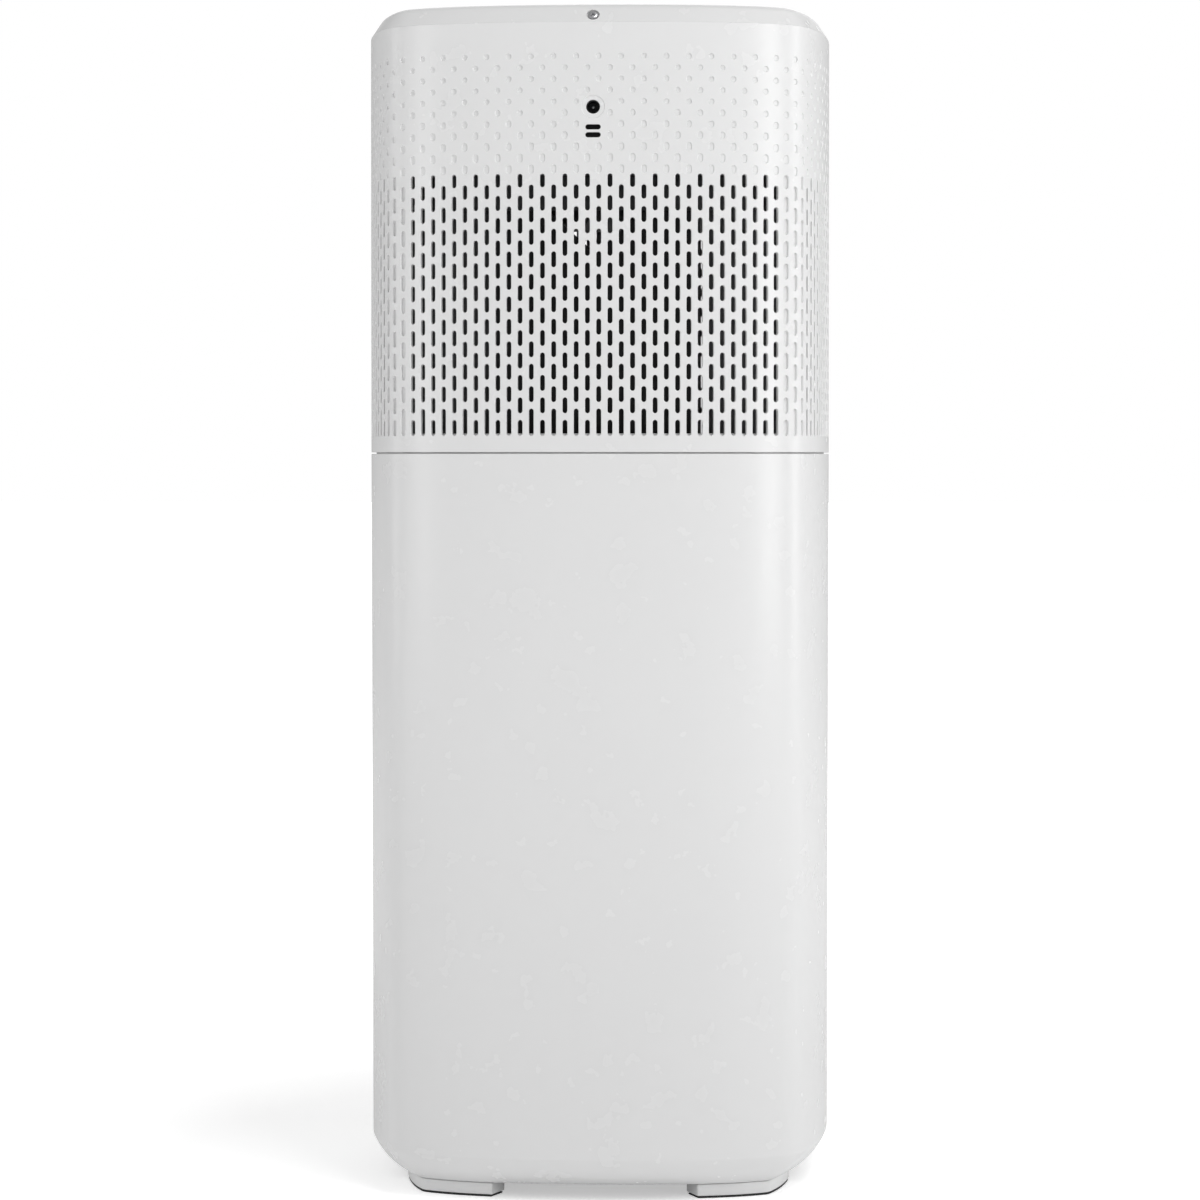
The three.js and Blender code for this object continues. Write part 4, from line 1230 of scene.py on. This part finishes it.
def printed_button(node, body, sign):
    """A dished round cap on a stem; sign(x, y) is where its printed grey sign is."""
    low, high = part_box(node)
    at = middle_of(node)
    top = high.z
    dish = [(BUTTON_R * share, top - 0.35 * MM * (1 - share**2)) for share in (0.2, 0.4, 0.6, 0.8, 0.9)]
    rim = [(BUTTON_R - 0.35 * MM, top), (BUTTON_R - 0.1 * MM, top - 0.1 * MM), (BUTTON_R, top - 0.35 * MM)]
    under = [(BUTTON_R, top - 2.7 * MM), (2 * MM, top - 2.7 * MM), (2 * MM, low.z), (0, low.z)]
    place = Matrix.Translation((at.x, at.y, 0))
    obj = turned(node + "_cap", [(0, top - 0.35 * MM), *dish, *rim, *under], 64, place)
    finish = Finish(node + "_finish", Roughness=0.38)
    x, y, z = finish.split(finish.place)
    mask = sign(x - at.x, y - at.y) * (z > top - MM)
    base = finish.between(finish.noise(60 * MM, 3), (0.8, 0.8, 0.802), (0.825, 0.826, 0.826))
    finish.feed(Base_Color=finish.between(mask, base, (0.17, 0.175, 0.18)))
    finish.relief(finish.noise(0.25 * MM, 1), 0.004 * MM)
    return keep(obj, body, finish.material, [node])


def power_sign(x, y):
    radius = (x * x + y * y) ** 0.5
    circle = (abs(radius - 2.6 * MM) < 0.26 * MM) * (1 - (abs(x) < 0.8 * MM) * (y > 0.0))
    stroke = (abs(x) < 0.26 * MM) * (abs(y - 2.2 * MM) < 1.2 * MM)
    return circle.math("MAXIMUM", stroke)


def speed_sign(x, y):
    """Three bars that grow, for the fan's speeds."""
    bars = None
    for i in range(3):
        height = (1.4 + 1.3 * i) * MM
        inside = abs(y - (height / 2 - 2.2 * MM)) < height / 2
        bar = (abs(x - (i - 1) * 1.7 * MM) < 0.42 * MM) * inside
        bars = bar if bars is None else bars.math("MAXIMUM", bar)
    return bars


control_plate()
display_glass()
for node, body, sign in zip(BUTTONS, BUTTON_BODIES, (power_sign, speed_sign)):
    printed_button(node, body, sign)

# %% [markdown]
# ## Power inlet
# A black block with a round socket stands behind the hole in the head, with a bright pin in its
# middle.  Both show through the hole, so they are turned with a soft lip and a rounded tip.

# %% Power inlet
BLACK_PLASTIC = moulded(
    "black_plastic", (0.016, 0.016, 0.017), (0.026, 0.026, 0.027), 0.45, 0.3 * MM, 0.008 * MM)
GREY_PLASTIC = moulded(
    "grey_plastic", (0.1, 0.102, 0.105), (0.125, 0.127, 0.13), 0.55, 0.35 * MM, 0.012 * MM)


def power_inlet():
    low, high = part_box("dc_jack")
    body = block("inlet_body", low, high)
    deep = 11 * MM
    throat = 3.15 * MM
    lip = [(0, -MM), (3.6 * MM, -MM), (3.45 * MM, 0.05 * MM)]
    socket = [*lip, (throat, 0.45 * MM), (throat, deep), (0, deep)]
    carve(body, turned("socket", socket, 56, along_y(0, low.y, JACK.z)))
    keep(body, "case", BLACK_PLASTIC, ["dc_jack"])
    low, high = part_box("jack_pin")
    radius = (high.z - low.z) / 2
    length = high.y - low.y
    tip = [(radius * math.sin(a), radius * (1 - math.cos(a))) for a in (0, 0.4, 0.8, 1.2, math.pi / 2)]
    pin = turned("inlet_pin", [*tip, (radius, length), (0, length)], 32, along_y(0, low.y, JACK.z))
    keep(pin, "case", STEEL, ["jack_pin"])


power_inlet()

# %% [markdown]
# ## Fan wheel and guard
# What turns round an axis repeats by angle.  The tree makes one point per copy on the axis and
# turns each copy by its share of the circle: forty curved blades for the wheel and six spokes
# for the guard in front of it.

# %% Fan wheel and guard
def turning_tree():
    tree = Recipe("turn_copies", Part="Object", Count="Int", Centre="Vector", Material="Material")
    share = tree.add("GeometryNodeInputIndex") / tree.given("Count")
    points = tree.add("GeometryNodePoints", None, tree.given("Count"), tree.given("Centre"))
    angle = tree.vector(0.0, share * (2 * math.pi), 0.0)
    tree.whole(tree.add(
        "GeometryNodeInstanceOnPoints", None, points, None, tree.pick("Part"), Rotation=angle))
    return tree


TURNING = turning_tree()
FAN = middle_of("motor_shaft")
FAN_CENTRE = Vector((0, 0, FAN.z))
BLADE_IN = 1.5 * MM       # the blades end this far inside the rim


def joined(name, *objects):
    """Several closed solids as the shells of one mesh."""
    work = bmesh.new()
    for obj in objects:
        work.from_mesh(obj.data)
    mesh = bpy.data.meshes.new(name)
    work.to_mesh(mesh)
    work.free()
    discard(*objects)
    return object_from(name, mesh)


def ring_solid(name, profile, sides, y):
    """A closed profile of (radius, offset along Y) turned once round the fan's axis."""
    return turned(name, [*profile, profile[0]], sides, along_y(0, y, FAN.z))


def fan_blade(radius, back, front):
    """A blade curved against the turn, standing over the axis at its true radius."""
    steps = 6
    chord = 17 * MM
    points, faces = [], []
    for y in (back, front):
        for thick in (-0.45 * MM, 0.45 * MM):
            for i in range(steps + 1):
                t = i / steps
                lean = 0.55 * chord * math.sin(t * math.pi / 2) ** 1.5
                points.append((lean + thick, y, radius - chord * (1 - t) - BLADE_IN))
    row = steps + 1
    for i in range(steps):
        faces.append((i, i + 1, row + i + 1, row + i))
        faces.append((2 * row + i, 3 * row + i, 3 * row + i + 1, 2 * row + i + 1))
        faces.append((i, 2 * row + i, 2 * row + i + 1, i + 1))
        faces.append((row + i, row + i + 1, 3 * row + i + 1, 3 * row + i))
    faces.append((0, row, 3 * row, 2 * row))
    faces.append((steps, 2 * row + steps, 3 * row + steps, row + steps))
    return object_from("blade", tidy(mesh_from("blade", points, faces)))


def fan_wheel():
    low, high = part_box("impeller")
    radius = (high.x - low.x) / 2
    length = high.y - low.y
    blade = fan_blade(radius, low.y + 1.2 * MM, high.y - 0.8 * MM)
    blades = TURNING.cook("blades", Part=blade, Count=40, Centre=FAN_CENTRE, Material=GREY_PLASTIC)
    discard(blade)
    hub = 13 * MM
    bore = 4.3 * MM
    thick = 2.5 * MM
    edge = 0.5 * MM
    web = [(bore, 0), (radius - edge, 0), (radius, edge), (radius, thick - edge), (radius - edge, thick)]
    web += [(hub + 12 * MM, thick), (hub + 3 * MM, 5 * MM), (hub, 9 * MM)]
    base = ring_solid("wheel_disc", [*web, (hub - MM, 26 * MM), (bore, 26 * MM)], 96, low.y)
    edge = 0.4 * MM
    start = length - 3 * MM
    rim_in = radius - 9 * MM
    rim_profile = [(rim_in, start), (radius - edge, start), (radius, start + edge)]
    rim_profile += [(radius, length - edge), (radius - edge, length), (rim_in, length)]
    rim = ring_solid("wheel_rim", rim_profile, 96, low.y)
    wheel = joined("wheel", blades, base, rim)
    return keep(wheel, "fan_wheel", GREY_PLASTIC, ["impeller"])


def fan_guard():
    low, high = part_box("inlet_guard")
    y = (low.y + high.y) / 2
    outer = (high.x - low.x) / 2
    wire = 1.15 * MM
    round_wire = [(math.cos(a), math.sin(a)) for a in (math.pi * i / 4 for i in range(8))]
    spacing = 12 * MM
    hoops = []
    for i in range(6):
        radius = outer - wire - 0.2 * MM - i * spacing
        hoops.append(ring_solid("hoop", [(radius + wire * c, wire * s) for c, s in round_wire], 96, y))
    spoke = cylinder("spoke", wire, 8 * MM, outer - wire, 10, Matrix.Identity(4))
    spoke.data.transform(Matrix.Translation((0, y, 0)))
    spokes = TURNING.cook("spokes", Part=spoke, Count=6, Centre=FAN_CENTRE, Material=BLACK_PLASTIC)
    discard(spoke)
    guard = joined("fan_guard", spokes, *hoops)
    return keep(guard, "case", BLACK_PLASTIC, ["inlet_guard"])


fan_wheel()
fan_guard()

# %% [markdown]
# ## Filter
# The media is one sheet folded back and forth, so a single pleat repeats along X and its copies
# merge at their edges.  The washable net in front is two rows of thin threads.  One tree lays
# copies along a line for all three.

# %% Filter media and net
def lining_tree():
    tree = Recipe(
        "line_up_copies", Part="Object", Count="Int", Start="Vector", Step="Vector", Material="Material")
    line = tree.add(
        "GeometryNodeMeshLine", {"mode": "OFFSET"}, tree.given("Count"), None, tree.given("Start"),
        tree.given("Step"))
    copies = tree.add("GeometryNodeInstanceOnPoints", None, line, None, tree.pick("Part"))
    real = tree.add("GeometryNodeRealizeInstances", None, copies)
    tree.whole(tree.add("GeometryNodeMergeByDistance", None, real, Distance=0.01 * MM))
    return tree


LINING = lining_tree()


def fibrous(name, dark, light, size, depth, roughness=0.95):
    finish = Finish(name, Roughness=roughness)
    fibres = finish.noise(size, 6, 0.65)
    finish.feed(Base_Color=finish.between(finish.noise(25 * MM, 4) * 0.6 + fibres * 0.4, dark, light))
    finish.relief(fibres, depth)
    return finish.material


PAPER = fibrous("filter_paper", (0.74, 0.73, 0.7), (0.88, 0.875, 0.85), 0.9 * MM, 0.12 * MM)
CARBON = fibrous("carbon_felt", (0.008, 0.008, 0.009), (0.035, 0.035, 0.037), 1.6 * MM, 0.5 * MM)
FOAM = fibrous("seal_foam", (0.03, 0.031, 0.033), (0.06, 0.062, 0.066), 0.8 * MM, 0.25 * MM)


def pleated_media():
    low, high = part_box("filter_media")
    count = 44
    step = (high.x - low.x) / count
    thick = 0.7 * MM
    points, faces = [], []
    steps = 12
    for z in (low.z, high.z):
        for side in (0, 1):
            for i in range(steps + 1):
                share = i / steps
                wave = 0.5 - 0.5 * math.cos(2 * math.pi * share)
                swing = wave**0.75 * (high.y - low.y - thick)
                points.append((share * step, low.y + swing + side * thick, z))
    row = steps + 1
    for i in range(steps):
        for a, b in ((0, 2), (1, 3), (0, 1), (2, 3)):
            faces.append((a * row + i, a * row + i + 1, b * row + i + 1, b * row + i))
    pleat = object_from("pleat", mesh_from("pleat", points, faces))
    media = LINING.cook(
        "pleats", Part=pleat, Count=count, Start=Vector((low.x, 0, 0)), Step=Vector((step, 0, 0)),
        Material=PAPER)
    discard(pleat)
    work = bmesh.new()
    work.from_mesh(media.data)
    bmesh.ops.holes_fill(work, edges=[e for e in work.edges if e.is_boundary], sides=4)
    bmesh.ops.recalc_face_normals(work, faces=work.faces)
    print("pleats open edges", sum(not e.is_manifold for e in work.edges))
    work.to_mesh(media.data)
    work.free()
    return keep(media, "filter", PAPER, ["filter_media"], sharp=50)


def washable_net():
    low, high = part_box("prefilter")
    spacing = 2.2 * MM
    half = 0.22 * MM
    y = (low.y + high.y) / 2
    upright = block("thread", (-half, y - 2 * half, low.z + MM), (half, y, high.z - MM))
    level = block("thread", (low.x + MM, y, -half), (high.x - MM, y + 2 * half, half))
    parts = []
    for part, span, start, axis in (
            (upright, high.x - low.x, Vector((low.x + spacing / 2, 0, 0)), Vector((1, 0, 0))),
            (level, high.z - low.z, Vector((0, 0, low.z + spacing / 2)), Vector((0, 0, 1)))):
        parts.append(LINING.cook(
            "threads", Part=part, Count=int(span / spacing), Start=start, Step=axis * spacing,
            Material=GREY_PLASTIC))
    discard(upright, level)
    net = joined("net", *parts)
    return keep(net, "filter", GREY_PLASTIC)


pleated_media()
washable_net()

# %% [markdown]
# ## Finishes for the pieces that the CAD model already shapes
# The rest of the inside needs no new shape.  Each node keeps its mesh and takes a procedural
# finish: moulded greys and blacks, brushed metal, felt and foam, a woven ribbon and a printed
# circuit board.

# %% Ribbon, board and cable
def woven_ribbon():
    finish = Finish("ribbon_weave", Roughness=0.85)
    x, _, z = finish.split(finish.place)
    thread = 0.9 * MM
    warp = ((x / thread) % 1.0 - 0.5).math("ABSOLUTE")
    weft = ((z / thread) % 1.0 - 0.5).math("ABSOLUTE")
    over = ((x / thread).math("FLOOR") + (z / thread).math("FLOOR")) % 2.0
    height = over * (1 - warp * warp * 4) + (1 - over) * (1 - weft * weft * 4)
    # The grey is the ribbon's own. Its colour follows the thread height, so the dips between the threads
    # carry painted shade.
    finish.feed(Base_Color=finish.between(height, (0.28, 0.31, 0.34), (0.52, 0.55, 0.58)))
    finish.relief(height, 0.15 * MM)
    return finish.material


def circuit_board():
    finish = Finish("circuit_board", Roughness=0.4, Coat_Weight=0.3)
    x, y, _ = finish.split(finish.place)
    cell = 2.5 * MM
    half_track = 0.12
    grid = finish.vector((x / cell).math("FLOOR"), (y / cell).math("FLOOR"), 0.0)
    chance = finish.add("ShaderNodeTexWhiteNoise", {"noise_dimensions": "3D"}, grid)
    across = abs((x / cell) % 1.0 - 0.5) < half_track
    along = abs((y / cell) % 1.0 - 0.5) < half_track
    track = (chance > 0.5) * across + (chance < 0.5) * along
    finish.feed(Base_Color=finish.between(track, (0.008, 0.06, 0.03), (0.02, 0.14, 0.07)))
    finish.relief(track, 0.05 * MM)
    return finish.material


RIBBON = woven_ribbon()
BOARD = circuit_board()
CABLE = moulded("cable_sheath", (0.012, 0.012, 0.013), (0.02, 0.02, 0.021), 0.5, 1.2 * MM, 0.02 * MM)
FRAME_CARD = fibrous("filter_card", (0.7, 0.7, 0.68), (0.8, 0.8, 0.78), 1.4 * MM, 0.05 * MM, 0.8)

# %% Paint the carried-over nodes
CARRIED = {
    GREY_PLASTIC: ["base_plate", "board_rack", "deck_plate", "ceiling_tray", "motor_plate", "inlet_ring",
                   "filter_bay", "prefilter", *[f"baffle_{spot}" for spot in FOOT_NAMES]],
    BLACK_PLASTIC: ["display_module", "air_sensor", "outlet_chimney", "fan_scroll"],
    STEEL: ["motor", "motor_shaft", "hub_nut"],
    BOARD: ["control_board"],
    CARBON: ["carbon_layer"],
    FOAM: ["filter_gasket"],
    FRAME_CARD: ["filter_frame"],
    RIBBON: ["pull_tab"],
    CABLE: ["jack_lead", "motor_lead"],
}
for material, nodes in CARRIED.items():
    for node in nodes:
        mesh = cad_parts[node].data
        mesh.materials.clear()
        mesh.materials.append(material)
painted = {node for nodes in CARRIED.values() for node in nodes}
shown = {name for name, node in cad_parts.items() if not node.hide_render}
print("shown nodes without a finish here:", sorted(shown - painted))

# %% Finish
low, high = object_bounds()
